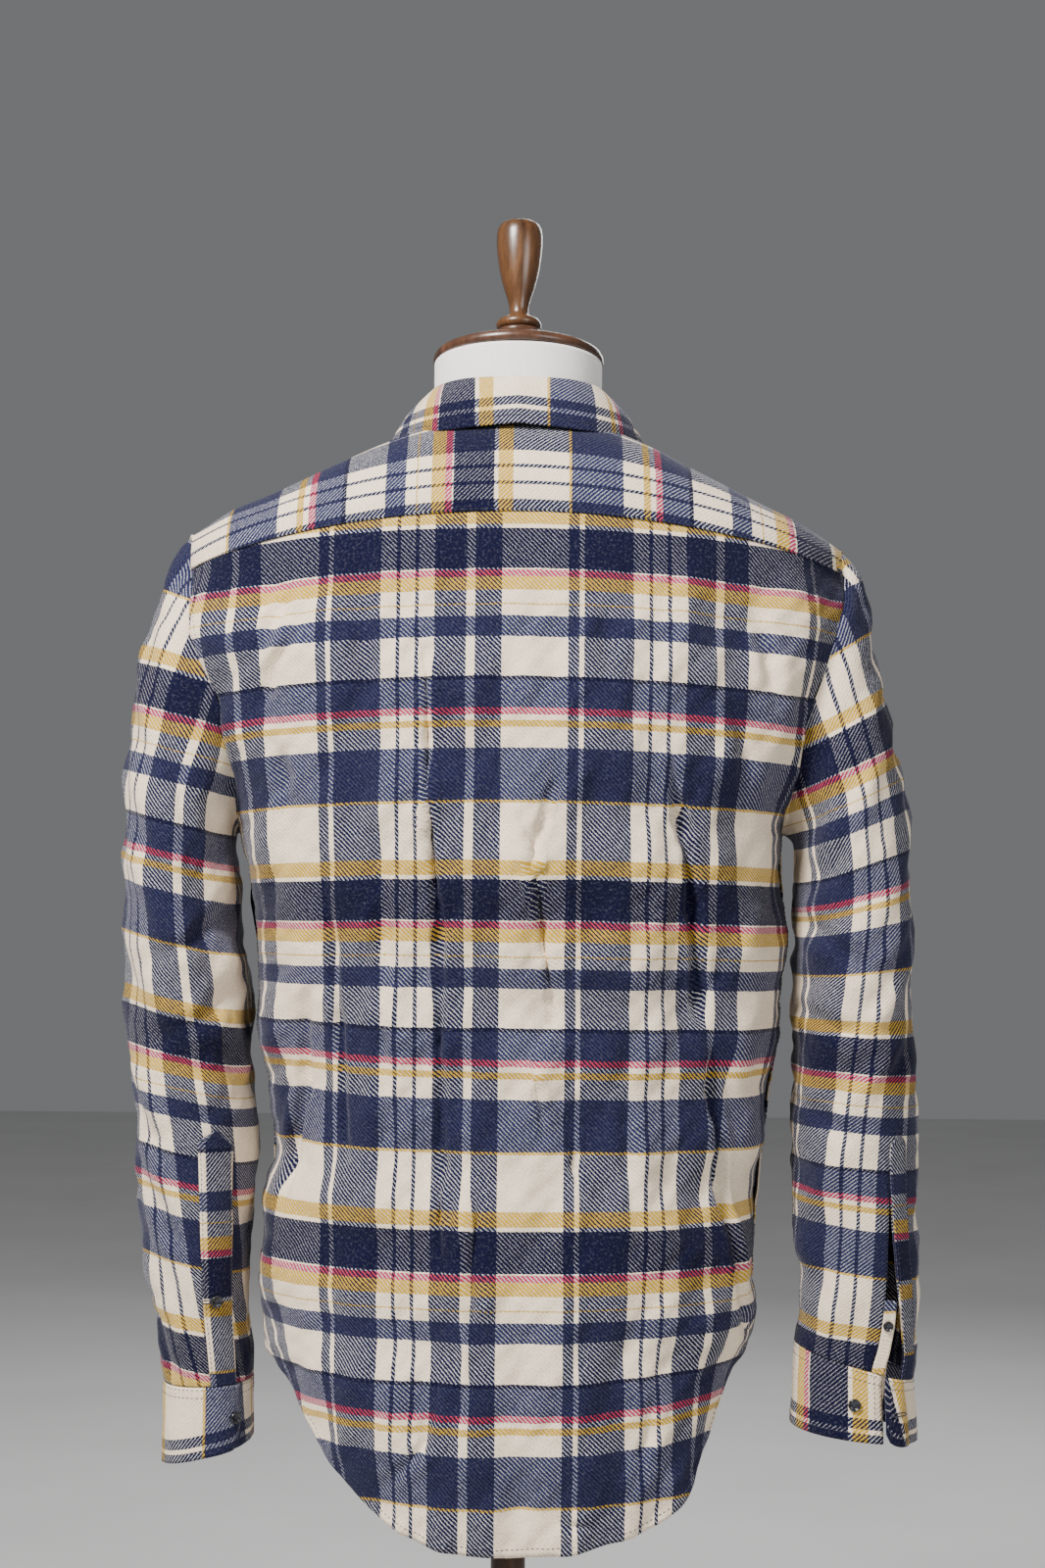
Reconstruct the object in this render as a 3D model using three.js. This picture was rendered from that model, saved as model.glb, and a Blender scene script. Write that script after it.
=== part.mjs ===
// A men's plaid flannel shirt worn by a limbless dress form on a wooden stand.
// Millimetres, +Z up. The wearer's back faces -Y and the wearer's left side is -X.
// The origin is the centre of the stand's underside.

import * as THREE from 'three';

// Driving dimensions of the cloth
const CLOTH = 1.6;               // thickness of one wall of flannel
const SEAM_GAP = 0.35;           // space left between two pieces at a seam
const SIDE_TRIM = 0.6;           // a panel ends this far short of its side seam
const TRIM = 1.3;                // thickness of a strip sewn on a panel
const ROUNDNESS = 2.3;           // superellipse exponent of the torso's sections
const UNDERARM_Z = 985;
const BACK_SEAM_Z = 1212;        // yoke seam at the centre back
const BACK_SEAM_DROP = 35;       // how much lower the yoke seam meets the armhole
const BACK_HEM_Z = 481;
const FRONT_HEM_Z = 500;
const SIDE_HEM_Z = 612;
const HEM_BLEND_Z = 660;         // above this height the rows of cloth lie level
const NECK_FRONT_Z = 1216;
const NECK_SIDE = 75.5;          // half the width of the neck hole
const NECK_BACK = 68;            // depth of the neck hole behind the axis
const OVERLAP = 17;              // half the width of the button band
const CUFF_HEIGHT = 58;
const CUFF_SLANT = 14;           // a cuff is this much lower on one side than on the other
const YOKE_HALF_WIDTH = 237.5;

// Half-widths and depths of the worn cloth, by height
const TORSO = table(['z', 'left', 'right', 'back', 'front'], [
  [470, 163, 160, 110, 112],
  [540, 170, 164, 116, 116],
  [600, 178, 170, 120, 120],
  [658, 184, 177, 118, 121],
  [709, 180, 181, 112, 118],
  [767, 174, 187, 108, 116],
  [818, 180, 195, 111, 117],
  [860, 186, 197, 115, 119],
  [905, 191, 198, 120, 122],
  [945, 196, 199, 124, 125],
  [985, 199, 200, 127, 127],
]);

// The armhole edge of the back panel, from the underarm to the yoke seam
const BACK_EDGE = table(['z', 'x', 'y', 'depth'], [
  [985, 199, 0, 127],
  [1000, 199, 30, 128],
  [1035, 203, 54, 129],
  [1061, 209, 62, 129],
  [1081, 216, 65, 129],
  [1106, 225, 66, 128],
  [1129, 231, 62, 126],
  [1152, 236, 52, 123],
  [1177, 237.5, 33, 119],
  [1212, 237.5, 33, 113],
]);

// The armhole edge of the fronts, then the front yoke seam up to the neck
const FRONT_EDGE = table(['z', 'x', 'y', 'depth'], [
  [985, 199, 0, 127],
  [1000, 199, 30, 128],
  [1035, 199.5, 54, 129],
  [1061, 201, 63, 129],
  [1081, 204, 66, 128],
  [1106, 208, 65, 125],
  [1129, 213, 60, 121],
  [1152, 219, 51, 114],
  [1180, 226, 37, 102],
  [1200, 182, 40, 86],
  [1218, 145, 41, 70],
  [1236, 104, 42, 58],
  [1250, 74, 43, 50],
]);

// Height of the shoulder ridge on each side
const RIDGE = table(['x', 'left', 'right'], [
  [0, 1290, 1290],
  [60, 1281, 1281],
  [94, 1269, 1268],
  [122, 1258, 1255],
  [153, 1246, 1242],
  [182, 1234, 1229],
  [210, 1223, 1216],
  [225, 1214, 1207],
  [239, 1205, 1197],
]);

// Height of the shirt-tail hem, by angle from the centre back or front
const HEM_SHAPE = table(['angle', 'left', 'right', 'front'], [
  [0, 0, 0, 0],
  [10, 0.02, 0.01, 0.01],
  [20, 0.08, 0.05, 0.05],
  [31, 0.2, 0.1, 0.16],
  [43, 0.42, 0.22, 0.4],
  [57, 0.74, 0.5, 0.75],
  [72, 0.96, 0.93, 0.96],
  [90, 1, 1, 1],
]);

// Main folds of the back: soft troughs, or ridges where the depth is negative
const BACK_FOLDS = [
  { x1: -62, z1: 1105, x2: -50, z2: 700, width: 15, depth: 4.5 },
  { x1: 14, z1: 985, x2: 31, z2: 850, width: 13, depth: 4 },
  { x1: 108, z1: 1035, x2: 138, z2: 850, width: 16, depth: 5 },
  { x1: -133, z1: 950, x2: -118, z2: 760, width: 15, depth: 4.5 },
  { x1: -148, z1: 860, x2: -160, z2: 730, width: 13, depth: 5 },
  { x1: 146, z1: 850, x2: 165, z2: 690, width: 13, depth: 5 },
  { x1: 40, z1: 785, x2: 52, z2: 745, width: 14, depth: 3 },
  { x1: -27, z1: 640, x2: -25, z2: 570, width: 12, depth: -4 },
];
const FRONT_FOLDS = [
  { x1: -150, z1: 1120, x2: -95, z2: 950, width: 15, depth: 4 },
  { x1: 150, z1: 1115, x2: 100, z2: 960, width: 15, depth: 4 },
  { x1: -120, z1: 880, x2: -110, z2: 640, width: 16, depth: 5 },
  { x1: 120, z1: 900, x2: 128, z2: 660, width: 15, depth: 5 },
  { x1: -60, z1: 760, x2: -66, z2: 570, width: 14, depth: 3.5 },
  { x1: 66, z1: 740, x2: 60, z2: 560, width: 14, depth: 3.5 },
];

// Sleeve sections, from the armhole to the cuff: outer and inner point, depth and middle
const SLEEVE_LEFT = table(['k', 'outX', 'outZ', 'inX', 'inZ', 'depth', 'y', 'blend'], [
  [0, 239, 1204, 199, 985, 66, 0, 0],
  [1, 262, 1171, 204.5, 973, 72, -1, 0.4],
  [2, 276, 1122, 205, 957, 76, -2, 0.75],
  [3, 282.5, 1065, 203, 936, 77, -3, 0.95],
  [4, 285.5, 1008, 200, 910, 76, -4, 1],
  [5, 285.5, 949, 197, 880, 74, -4, 1],
  [6, 284, 890, 193.5, 845, 70, -5, 1],
  [7, 280.5, 828, 190, 800, 65, -6, 1],
  [8, 275.5, 766, 187.5, 752, 60, -6, 1],
  [9, 270, 705, 188, 698, 56, -7, 1],
  [10, 263, 650, 189, 648, 51, -8, 1],
  [11, 256, 608, 188, 608, 46, -8, 1],
  [12, 252, 584, 187, 586, 43, -8, 1],
]);
const SLEEVE_RIGHT = table(['k', 'outX', 'outZ', 'inX', 'inZ', 'depth', 'y', 'blend'], [
  [0, 239, 1197, 200, 985, 66, 0, 0],
  [1, 260, 1163, 206, 973, 72, -1, 0.4],
  [2, 271, 1110, 209, 957, 75, -2, 0.75],
  [3, 280, 1052, 209, 936, 77, -3, 0.95],
  [4, 286, 994, 208, 910, 76, -4, 1],
  [5, 290.5, 935, 207, 880, 73, -4, 1],
  [6, 293, 877, 206, 845, 69, -5, 1],
  [7, 294, 820, 205.5, 800, 64, -6, 1],
  [8, 294, 760, 207, 750, 59, -6, 1],
  [9, 295.5, 700, 210, 697, 55, -7, 1],
  [10, 297, 648, 213, 660, 51, -8, 1],
  [11, 297.5, 611, 212, 634, 47, -8, 1],
  [12, 295, 590, 208, 614, 45, -8, 1],
]);

// Dress form sections: half-width, depth behind and in front of the axis
const FORM = table(['z', 'side', 'back', 'front'], [
  [606, 140, 86, 86],
  [618, 152, 96, 95],
  [640, 160, 100, 99],
  [680, 162, 99, 99],
  [740, 151, 94, 97],
  [790, 143, 91, 96],
  [845, 147, 93, 100],
  [905, 157, 99, 106],
  [965, 168, 104, 111],
  [1030, 177, 107, 113],
  [1090, 185, 107, 107],
  [1140, 193, 103, 90],
  [1175, 198, 97, 72],
  [1197, 199, 91, 62],
  [1212, 192, 87, 56],
  [1225, 176, 82, 53],
  [1240, 146, 76, 51],
  [1254, 113, 70, 50],
  [1266, 84, 65, 50],
  [1277, 69, 61.5, 52],
  [1300, 63, 58.5, 55],
  [1318, 62.5, 58, 58],
  [1334, 62.5, 58, 62],
]);

// Stand and neck top
const NECK_TOP_Z = 1334;
const NECK_TILT = 8 * Math.PI / 180;
const CAP_RADIUS = 63.5;
const POLE_RADIUS = 12.75;
const BASE_RADIUS = 190;
const BASE_HEIGHT = 24;
const FORM_BOTTOM_Z = 606;

// Sizes of the buttons
const BUTTON_RADIUS = 5.5;
const SMALL_BUTTON_RADIUS = 4.6;
const BUTTON_HEIGHT = 2.6;

const RIGHT_ANGLE = Math.PI / 2;
const degrees = (radians) => radians * 180 / Math.PI;
const clamp = (value, low, high) => Math.min(high, Math.max(low, value));
const mix = (a, b, share) => a + (b - a) * share;
const sum = (a, b, share) => new THREE.Vector3().lerpVectors(a, b, share);
const smoothStep = (low, high, value) => {
  const share = clamp((value - low) / (high - low), 0, 1);
  return share * share * (3 - 2 * share);
};

// A table keeps its named columns; read() gives smooth values between its rows
function table(names, rows) {
  return rows.map((row) => Object.fromEntries(names.map((name, i) => [name, row[i]])));
}

function read(rows, name, value) {
  const key = Object.keys(rows[0])[0];
  const last = rows.length - 1;
  if (value <= rows[0][key]) return rows[0][name];
  if (value >= rows[last][key]) return rows[last][name];
  let i = 0;
  while (value > rows[i + 1][key]) i += 1;
  const slope = (n) => (rows[n + 1][name] - rows[n][name]) / (rows[n + 1][key] - rows[n][key]);
  const tangent = (n) => {
    if (n === 0) return slope(0);
    if (n === last) return slope(last - 1);
    const before = slope(n - 1);
    const after = slope(n);
    return before * after <= 0 ? 0 : 2 * before * after / (before + after);
  };
  const step = rows[i + 1][key] - rows[i][key];
  const share = (value - rows[i][key]) / step;
  const square = share * share;
  const cube = square * share;
  return (2 * cube - 3 * square + 1) * rows[i][name]
    + (cube - 2 * square + share) * step * tangent(i)
    + (3 * square - 2 * cube) * rows[i + 1][name]
    + (cube - square) * step * tangent(i + 1);
}

// Sections of the worn cloth. A section is a superellipse, cut off at the armhole.
const SIN_POWER = 2 / ROUNDNESS;

function section(face, side, z) {
  const edges = face === 'back' ? BACK_EDGE : FRONT_EDGE;
  const low = z < UNDERARM_Z;
  const depth = low ? read(TORSO, face, z) : read(edges, 'depth', z);
  const edgeX = low ? read(TORSO, side < 0 ? 'left' : 'right', z) : read(edges, 'x', z);
  const edgeY = low ? 0 : read(edges, 'y', z);
  const width = edgeX / (1 - (edgeY / depth) ** ROUNDNESS) ** (1 / ROUNDNESS);
  const angle = Math.asin((edgeX / width) ** (ROUNDNESS / 2));
  return { width, depth, edgeX, angle };
}

function onTorso(face, side, angle, z) {
  const { width, depth } = section(face, side, z);
  const x = side * width * Math.sin(angle) ** SIN_POWER;
  const y = depth * Math.max(0, Math.cos(angle)) ** SIN_POWER;
  return new THREE.Vector3(x, face === 'back' ? -y : y, z);
}

function angleAtX(face, side, x, z) {
  const { width } = section(face, side, z);
  return Math.asin(clamp(Math.abs(x) / width, 0, 1) ** (ROUNDNESS / 2));
}

// Push a point of cloth in along the section's inward direction at each fold it lies near
function addFolds(point, folds, face) {
  const inward = new THREE.Vector3(-point.x / 4, face === 'back' ? 60 : -60, 0).normalize();
  folds.forEach((fold) => {
    const alongX = fold.x2 - fold.x1;
    const alongZ = fold.z2 - fold.z1;
    const length = Math.hypot(alongX, alongZ);
    const place = ((point.x - fold.x1) * alongX + (point.z - fold.z1) * alongZ) / length ** 2;
    const across = ((point.x - fold.x1) * alongZ - (point.z - fold.z1) * alongX) / length;
    const taper = smoothStep(-0.15, 0.2, place) * smoothStep(1.15, 0.8, place);
    point.addScaledVector(inward, fold.depth * taper * Math.exp(-((across / fold.width) ** 2)));
  });
  return point;
}

// Cloth wall: an outer grid of points, the same grid moved in, and a rim that joins them.
// Rows run upwards and columns to the right as seen from outside.
function normalsOf(grid, closed) {
  const normals = grid.map((row) => row.map(() => new THREE.Vector3()));
  const last = grid[0].length - 1;
  for (let i = 0; i < grid.length - 1; i += 1) {
    for (let j = 0; j < last; j += 1) {
      const [a, b] = [grid[i][j], grid[i][j + 1]];
      const [c, d] = [grid[i + 1][j + 1], grid[i + 1][j]];
      const face = new THREE.Vector3().subVectors(c, a).cross(new THREE.Vector3().subVectors(d, b));
      [[i, j], [i, j + 1], [i + 1, j + 1], [i + 1, j]].forEach(([m, n]) => normals[m][n].add(face));
    }
  }
  normals.forEach((row, i) => {
    if (closed(i)) {
      row[0].add(row[last]);
      row[last].copy(row[0]);
    }
    row.forEach((normal) => normal.normalize());
  });
  return normals;
}

function moveOut(grid, distance, closed = () => false) {
  const normals = normalsOf(grid, closed);
  return grid.map((row, i) => row.map((p, j) => p.clone().addScaledVector(normals[i][j], distance)));
}

function wall(grid, thickness = CLOTH, closed = () => false) {
  const inner = moveOut(grid, -thickness, closed);
  const rowCount = grid.length;
  const last = grid[0].length - 1;
  const half = rowCount * (last + 1);
  const outerId = (i, j) => i * (last + 1) + (j === last && closed(i) ? 0 : j);
  const innerId = (i, j) => half + outerId(i, j);
  const positions = [...grid.flat(), ...inner.flat()].flatMap((p) => [p.x, p.y, p.z]);
  const faces = [];
  const quad = (a, b, c, d) => faces.push(a, b, c, a, c, d);
  for (let i = 0; i < rowCount - 1; i += 1) {
    for (let j = 0; j < last; j += 1) {
      quad(outerId(i, j), outerId(i, j + 1), outerId(i + 1, j + 1), outerId(i + 1, j));
      quad(innerId(i, j), innerId(i + 1, j), innerId(i + 1, j + 1), innerId(i, j + 1));
    }
    if (!(closed(i) && closed(i + 1))) {
      quad(outerId(i, 0), outerId(i + 1, 0), innerId(i + 1, 0), innerId(i, 0));
      quad(outerId(i, last), innerId(i, last), innerId(i + 1, last), outerId(i + 1, last));
    }
  }
  const top = rowCount - 1;
  for (let j = 0; j < last; j += 1) {
    quad(outerId(0, j), innerId(0, j), innerId(0, j + 1), outerId(0, j + 1));
    quad(outerId(top, j), outerId(top, j + 1), innerId(top, j + 1), innerId(top, j));
  }
  return meshOf(positions, faces);
}

function meshOf(positions, faces) {
  const geometry = new THREE.BufferGeometry();
  geometry.setAttribute('position', new THREE.Float32BufferAttribute(positions, 3));
  geometry.setIndex(faces);
  geometry.computeVertexNormals();
  return geometry;
}

// A closed body through rings of points, from the bottom ring to the top one
function loft(rings) {
  const count = rings[0].length;
  const positions = rings.flat().flatMap((p) => [p.x, p.y, p.z]);
  const faces = [];
  for (let i = 0; i < rings.length - 1; i += 1) {
    for (let j = 0; j < count; j += 1) {
      const next = (j + 1) % count;
      const [a, b] = [i * count + j, i * count + next];
      const [c, d] = [(i + 1) * count + next, (i + 1) * count + j];
      faces.push(a, b, c, a, c, d);
    }
  }
  [[0, true], [rings.length - 1, false]].forEach(([i, down]) => {
    const middle = rings[i].reduce((total, p) => total.add(p), new THREE.Vector3());
    middle.divideScalar(count);
    const hub = positions.length / 3;
    positions.push(middle.x, middle.y, middle.z);
    for (let j = 0; j < count; j += 1) {
      const [a, b] = [i * count + j, i * count + (j + 1) % count];
      faces.push(...(down ? [hub, b, a] : [hub, a, b]));
    }
  });
  return meshOf(positions, faces);
}

// A point of a panel's own grid, between its points, moved out along the panel's normal
function onGrid(grid, normals, rowAt, columnAt, distance) {
  const last = grid[0].length - 1;
  const column = columnAt < 0 ? columnAt + last : columnAt;
  const i = clamp(Math.floor(rowAt), 0, grid.length - 2);
  const j = clamp(Math.floor(column), 0, last - 1);
  const blend = (source) => sum(
    sum(source[i][j], source[i][j + 1], column - j),
    sum(source[i + 1][j], source[i + 1][j + 1], column - j),
    rowAt - i,
  );
  const normal = blend(normals).normalize();
  return { point: blend(grid).addScaledVector(normal, distance), normal };
}

// Move a panel's side edges and its top row in by the space left at a seam
function trimEdges(grid, sideGap, topGap, bottom = false) {
  const last = grid.length - 1;
  const end = grid[0].length - 1;
  const pull = (p, towards, gap) => p.add(new THREE.Vector3().subVectors(towards, p).setLength(gap));
  if (bottom) grid[0].forEach((p, j) => pull(p, grid[1][j], topGap));
  grid[last].forEach((p, j) => pull(p, grid[last - 1][j], topGap));
  grid.forEach((row) => {
    pull(row[0], row[1], sideGap);
    pull(row[end], row[end - 1], sideGap);
  });
  return grid;
}

// Back panel
const BACK_ROWS = [0, 0.15, 0.36, 0.57, 0.78, 1].map((share) => mix(BACK_HEM_Z, HEM_BLEND_Z, share))
  .concat([700, 740, 780, 820, 860, 900, 942, 985, 1010, 1035, 1061, 1085, 1110, 1135, 1160, 1186])
  .concat([BACK_SEAM_Z]);
const BACK_COLUMNS = 24;
const TOP_BLEND_Z = 1110;
const backSeamZ = (x) => BACK_SEAM_Z - BACK_SEAM_DROP * (x / YOKE_HALF_WIDTH) ** 2;

function hemZ(face, side, angle) {
  const column = face === 'back' ? (side < 0 ? 'left' : 'right') : 'front';
  const rise = read(HEM_SHAPE, column, degrees(angle));
  return mix(face === 'back' ? BACK_HEM_Z : FRONT_HEM_Z, SIDE_HEM_Z, rise);
}

function backPoint(share, height) {
  const side = share < 0 ? -1 : 1;
  let z = height;
  if (height < HEM_BLEND_Z) {
    const up = (height - BACK_HEM_Z) / (HEM_BLEND_Z - BACK_HEM_Z);
    z = mix(hemZ('back', side, Math.abs(share) * RIGHT_ANGLE), HEM_BLEND_Z, up);
  }
  const place = (at) => onTorso('back', side, Math.abs(share) * section('back', side, at).angle, at);
  if (height > TOP_BLEND_Z) {
    const up = (height - TOP_BLEND_Z) / (BACK_SEAM_Z - TOP_BLEND_Z);
    for (let step = 0; step < 12; step += 1) z = mix(TOP_BLEND_Z, backSeamZ(place(z).x), up);
  }
  return addFolds(place(z), BACK_FOLDS, 'back');
}

function backGrid() {
  return BACK_ROWS.map((height) => Array.from(
    { length: BACK_COLUMNS + 1 },
    (_, j) => backPoint(mix(-1, 1, j / BACK_COLUMNS), height),
  ));
}

// Fronts: rows run up past the armhole and narrow between the neck and the yoke seam
const FRONT_ROWS = [0, 0.14, 0.32, 0.5, 0.68, 0.86, 1].map((share) => mix(FRONT_HEM_Z, HEM_BLEND_Z, share))
  .concat([700, 740, 780, 820, 860, 900, 942, 985, 1010, 1035, 1061, 1090, 1120, 1150, 1180])
  .concat([1200, 1216, 1224, 1234, 1245]);
const FRONT_COLUMNS = 12;
const NECK_RISE = 34;            // the neck hole's edge climbs this much to the yoke seam

function frontStartX(z) {
  const neck = z > NECK_FRONT_Z ? 74 * Math.sqrt((z - NECK_FRONT_Z) / NECK_RISE) : 0;
  return Math.max(OVERLAP, neck);
}

function frontPoint(side, share, height) {
  let z = height;
  if (height < HEM_BLEND_Z) {
    const up = (height - FRONT_HEM_Z) / (HEM_BLEND_Z - FRONT_HEM_Z);
    z = mix(hemZ('front', side, share * RIGHT_ANGLE), HEM_BLEND_Z, up);
  }
  const { angle } = section('front', side, z);
  const start = angleAtX('front', side, frontStartX(z), z);
  return addFolds(onTorso('front', side, mix(start, angle, share), z), FRONT_FOLDS, 'front');
}

function frontGrid(side) {
  return FRONT_ROWS.map((height) => Array.from({ length: FRONT_COLUMNS + 1 }, (_, j) => {
    const share = j / FRONT_COLUMNS;
    return frontPoint(side, side > 0 ? 1 - share : share, height);
  }));
}

// Yoke: profiles over the shoulder, from the back seam (0) over the ridge (0.5) to the front (1)
function frontSeam(side, x) {
  const width = clamp(Math.abs(x), 74, 226);
  let low = 1180;
  let high = 1250;
  for (let step = 0; step < 30; step += 1) {
    const z = (low + high) / 2;
    if (read(FRONT_EDGE, 'x', z) > width) low = z; else high = z;
  }
  return new THREE.Vector3(x, read(FRONT_EDGE, 'y', low), low);
}

function shoulder(x, place) {
  const side = x < 0 ? -1 : 1;
  const ridgeZ = read(RIDGE, side < 0 ? 'left' : 'right', Math.abs(x));
  const seamZ = backSeamZ(x);
  const start = place <= 0.5
    ? onTorso('back', side, angleAtX('back', side, x, seamZ), seamZ)
    : frontSeam(side, x);
  const angle = (place <= 0.5 ? place : 1 - place) * 2 * RIGHT_ANGLE;
  const y = start.y * Math.cos(angle);
  return new THREE.Vector3(x, y, mix(start.z, ridgeZ, Math.sin(angle)));
}

const armholeX = (place) => (place <= 0.5 ? mix(YOKE_HALF_WIDTH, 239, place * 2) : mix(239, 226, place * 2 - 1));

// The neck seam as x and place on the shoulder profiles; turn 0 is the centre back
const NECK_CORNER = 0.62;        // turn past the side where the neck meets the front seam

function neckOnShoulder(turn) {
  const side = turn < 0 ? -1 : 1;
  const size = Math.abs(turn);
  if (size > RIGHT_ANGLE) {
    const share = (size - RIGHT_ANGLE) / NECK_CORNER;
    return { x: side * mix(NECK_SIDE, 74, share), place: mix(0.5, 1, share) };
  }
  const x = side * NECK_SIDE * Math.sin(size) ** 0.9;
  const y = NECK_BACK * Math.cos(size) ** 0.9;
  const depth = -shoulder(x, 0).y;
  return { x, place: Math.acos(clamp(y / depth, 0, 1)) / RIGHT_ANGLE / 2 };
}

function yokeGrid() {
  const sideSteps = 6;
  const backSteps = 22;
  const acrossSteps = 6;
  const columns = [];
  const corner = RIGHT_ANGLE * 0.72;
  const front = RIGHT_ANGLE + NECK_CORNER;
  for (let k = 0; k <= sideSteps; k += 1) {
    const share = k / sideSteps;
    const place = 1 - share;
    columns.push({ turn: mix(-front, -corner, share), x: -armholeX(place), place });
  }
  for (let k = 1; k < backSteps; k += 1) {
    const share = k / backSteps;
    columns.push({ turn: mix(-corner, corner, share), x: mix(-YOKE_HALF_WIDTH, YOKE_HALF_WIDTH, share), place: 0 });
  }
  for (let k = 0; k <= sideSteps; k += 1) {
    const share = k / sideSteps;
    columns.push({ turn: mix(corner, front, share), x: armholeX(share), place: share });
  }
  const rows = [];
  for (let i = 0; i <= acrossSteps; i += 1) {
    const share = i / acrossSteps;
    rows.push(columns.map((column) => {
      const neck = neckOnShoulder(column.turn);
      return shoulder(mix(column.x, neck.x, share), mix(column.place, neck.place, share));
    }));
  }
  return rows;
}

// The armhole as one closed line: turn 0 is the shoulder point, then back, underarm, front
function armhole(side) {
  const steps = 40;
  const over = (k) => shoulder(side * armholeX(k), k);
  const down = (face, z) => onTorso(face, side, section(face, side, z).angle, z);
  const back = [];
  const front = [];
  for (let k = 0; k < steps; k += 1) {
    back.push(over(mix(0.5, 0, k / steps)));
    front.push(over(mix(0.5, 1, k / steps)));
  }
  for (let k = 0; k <= steps; k += 1) {
    back.push(down('back', mix(backSeamZ(YOKE_HALF_WIDTH), UNDERARM_Z, k / steps)));
    front.push(down('front', mix(1180, UNDERARM_Z, k / steps)));
  }
  const paths = [back, front].map((line) => new THREE.CatmullRomCurve3(line, false, 'centripetal'));
  return (turn) => {
    const share = (turn / Math.PI + 2) % 2;
    return share <= 1 ? paths[0].getPointAt(share) : paths[1].getPointAt(2 - share);
  };
}

// Sleeves: rings that turn from the armhole to level ovals. Turn 0 is the outer line of the
// sleeve, a quarter turn is its back, half a turn lies along the body.
const SLEEVE_COLUMNS = 18;
const SLEEVE_RINGS = [0, 0.45, 1, 1.6, 2.3, 3, 4, 5, 6, 7, 8, 8.7, 9.4, 10.1, 10.8, 11.4, 12];
const SLEEVE_GAP = 1.6;           // the sleeve starts this far out of the armhole
const SLEEVE = {
  left: { side: -1, rows: SLEEVE_LEFT, seam: 113 / 180 * Math.PI, slit: 0 },
  right: { side: 1, rows: SLEEVE_RIGHT, seam: 66 / 180 * Math.PI, slit: 16 },
};
const SLIT_TOP = 8;              // sleeve section where the open slit ends

function sleevePoint(sleeve, hole, k, turn) {
  const value = (name) => read(sleeve.rows, name, k);
  const outer = new THREE.Vector3(sleeve.side * value('outX'), 0, value('outZ'));
  const inner = new THREE.Vector3(sleeve.side * value('inX'), 0, value('inZ'));
  const [across, behind] = [Math.cos(turn), Math.sin(turn)];
  const oval = sum(outer, inner, (1 - Math.sign(across) * Math.abs(across) ** 0.92) / 2);
  oval.y = value('y') - value('depth') * Math.sign(behind) * Math.abs(behind) ** 0.92;
  const point = sum(hole(turn), oval, value('blend'));
  point.x += sleeve.side * SLEEVE_GAP;
  return point;
}

// Turn of a column; below the top of a slit the two edges stand apart
function sleeveTurn(sleeve, k, share) {
  const open = sleeve.slit / 180 * Math.PI * smoothStep(SLIT_TOP, 12, k);
  return sleeve.seam + open + share * (2 * Math.PI - 2 * open);
}

function sleeveGrid(sleeve) {
  const hole = armhole(sleeve.side);
  const grid = SLEEVE_RINGS.map((k) => Array.from({ length: SLEEVE_COLUMNS + 1 }, (_, j) => {
    const share = j / SLEEVE_COLUMNS;
    return sleevePoint(sleeve, hole, k, sleeveTurn(sleeve, k, sleeve.side < 0 ? share : 1 - share));
  }));
  return grid.reverse();
}

const sleeveClosed = (sleeve) => (i) => (
  sleeve.slit === 0 || SLEEVE_RINGS[SLEEVE_RINGS.length - 1 - i] <= SLIT_TOP
);

// A strip sewn on a sleeve: points of the sleeve's own grid, moved out. Its top is pointed.
const PLACKET_POINT = 0.06;      // share of the placket's width left at its point

function placket(sleeve, rowPlaces, columns) {
  const top = rowPlaces.length - 1;
  const middle = (columns[0] + columns[columns.length - 1]) / 2;
  return rowPlaces.map((row, n) => columns.map((column) => {
    const place = mix(middle, column, n === top ? PLACKET_POINT : 1);
    return onGrid(sleeve.grid, sleeve.normals, row, place, SEAM_GAP + 0.15 + TRIM).point;
  }));
}

// Cuffs: a band that follows the sleeve's end
const CUFF_STEPS = 26;

function cuffGrid(sleeve, shape) {
  const rings = [0, 0.5, 1];
  return rings.map((up) => Array.from({ length: CUFF_STEPS + 1 }, (_, j) => {
    const share = sleeve.side < 0 ? j / CUFF_STEPS : 1 - j / CUFF_STEPS;
    const turn = mix(shape.from, shape.to, share) / 180 * Math.PI;
    const value = (name) => read(sleeve.rows, name, 12);
    const middle = (value('outX') + value('inX')) / 2;
    const half = (value('outX') - value('inX')) / 2;
    const lift = shape.lap * smoothStep(0.86, 0.94, share) - shape.curl * smoothStep(0.93, 1, share)
      + shape.flare * (1 - up);
    const across = Math.sign(Math.cos(turn)) * Math.abs(Math.cos(turn)) ** 0.92;
    const behind = Math.sign(Math.sin(turn)) * Math.abs(Math.sin(turn)) ** 0.92;
    const inward = (1 - across) / 2;
    const top = mix(value('outZ'), value('inZ'), inward) - SEAM_GAP - CLOTH * 0.2;
    const bottom = top - mix(shape.outHeight, shape.inHeight, inward);
    return new THREE.Vector3(
      sleeve.side * (middle + SLEEVE_GAP + (half + lift) * across),
      value('y') - (value('depth') + lift) * behind,
      mix(bottom, top, up),
    );
  }));
}

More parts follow.
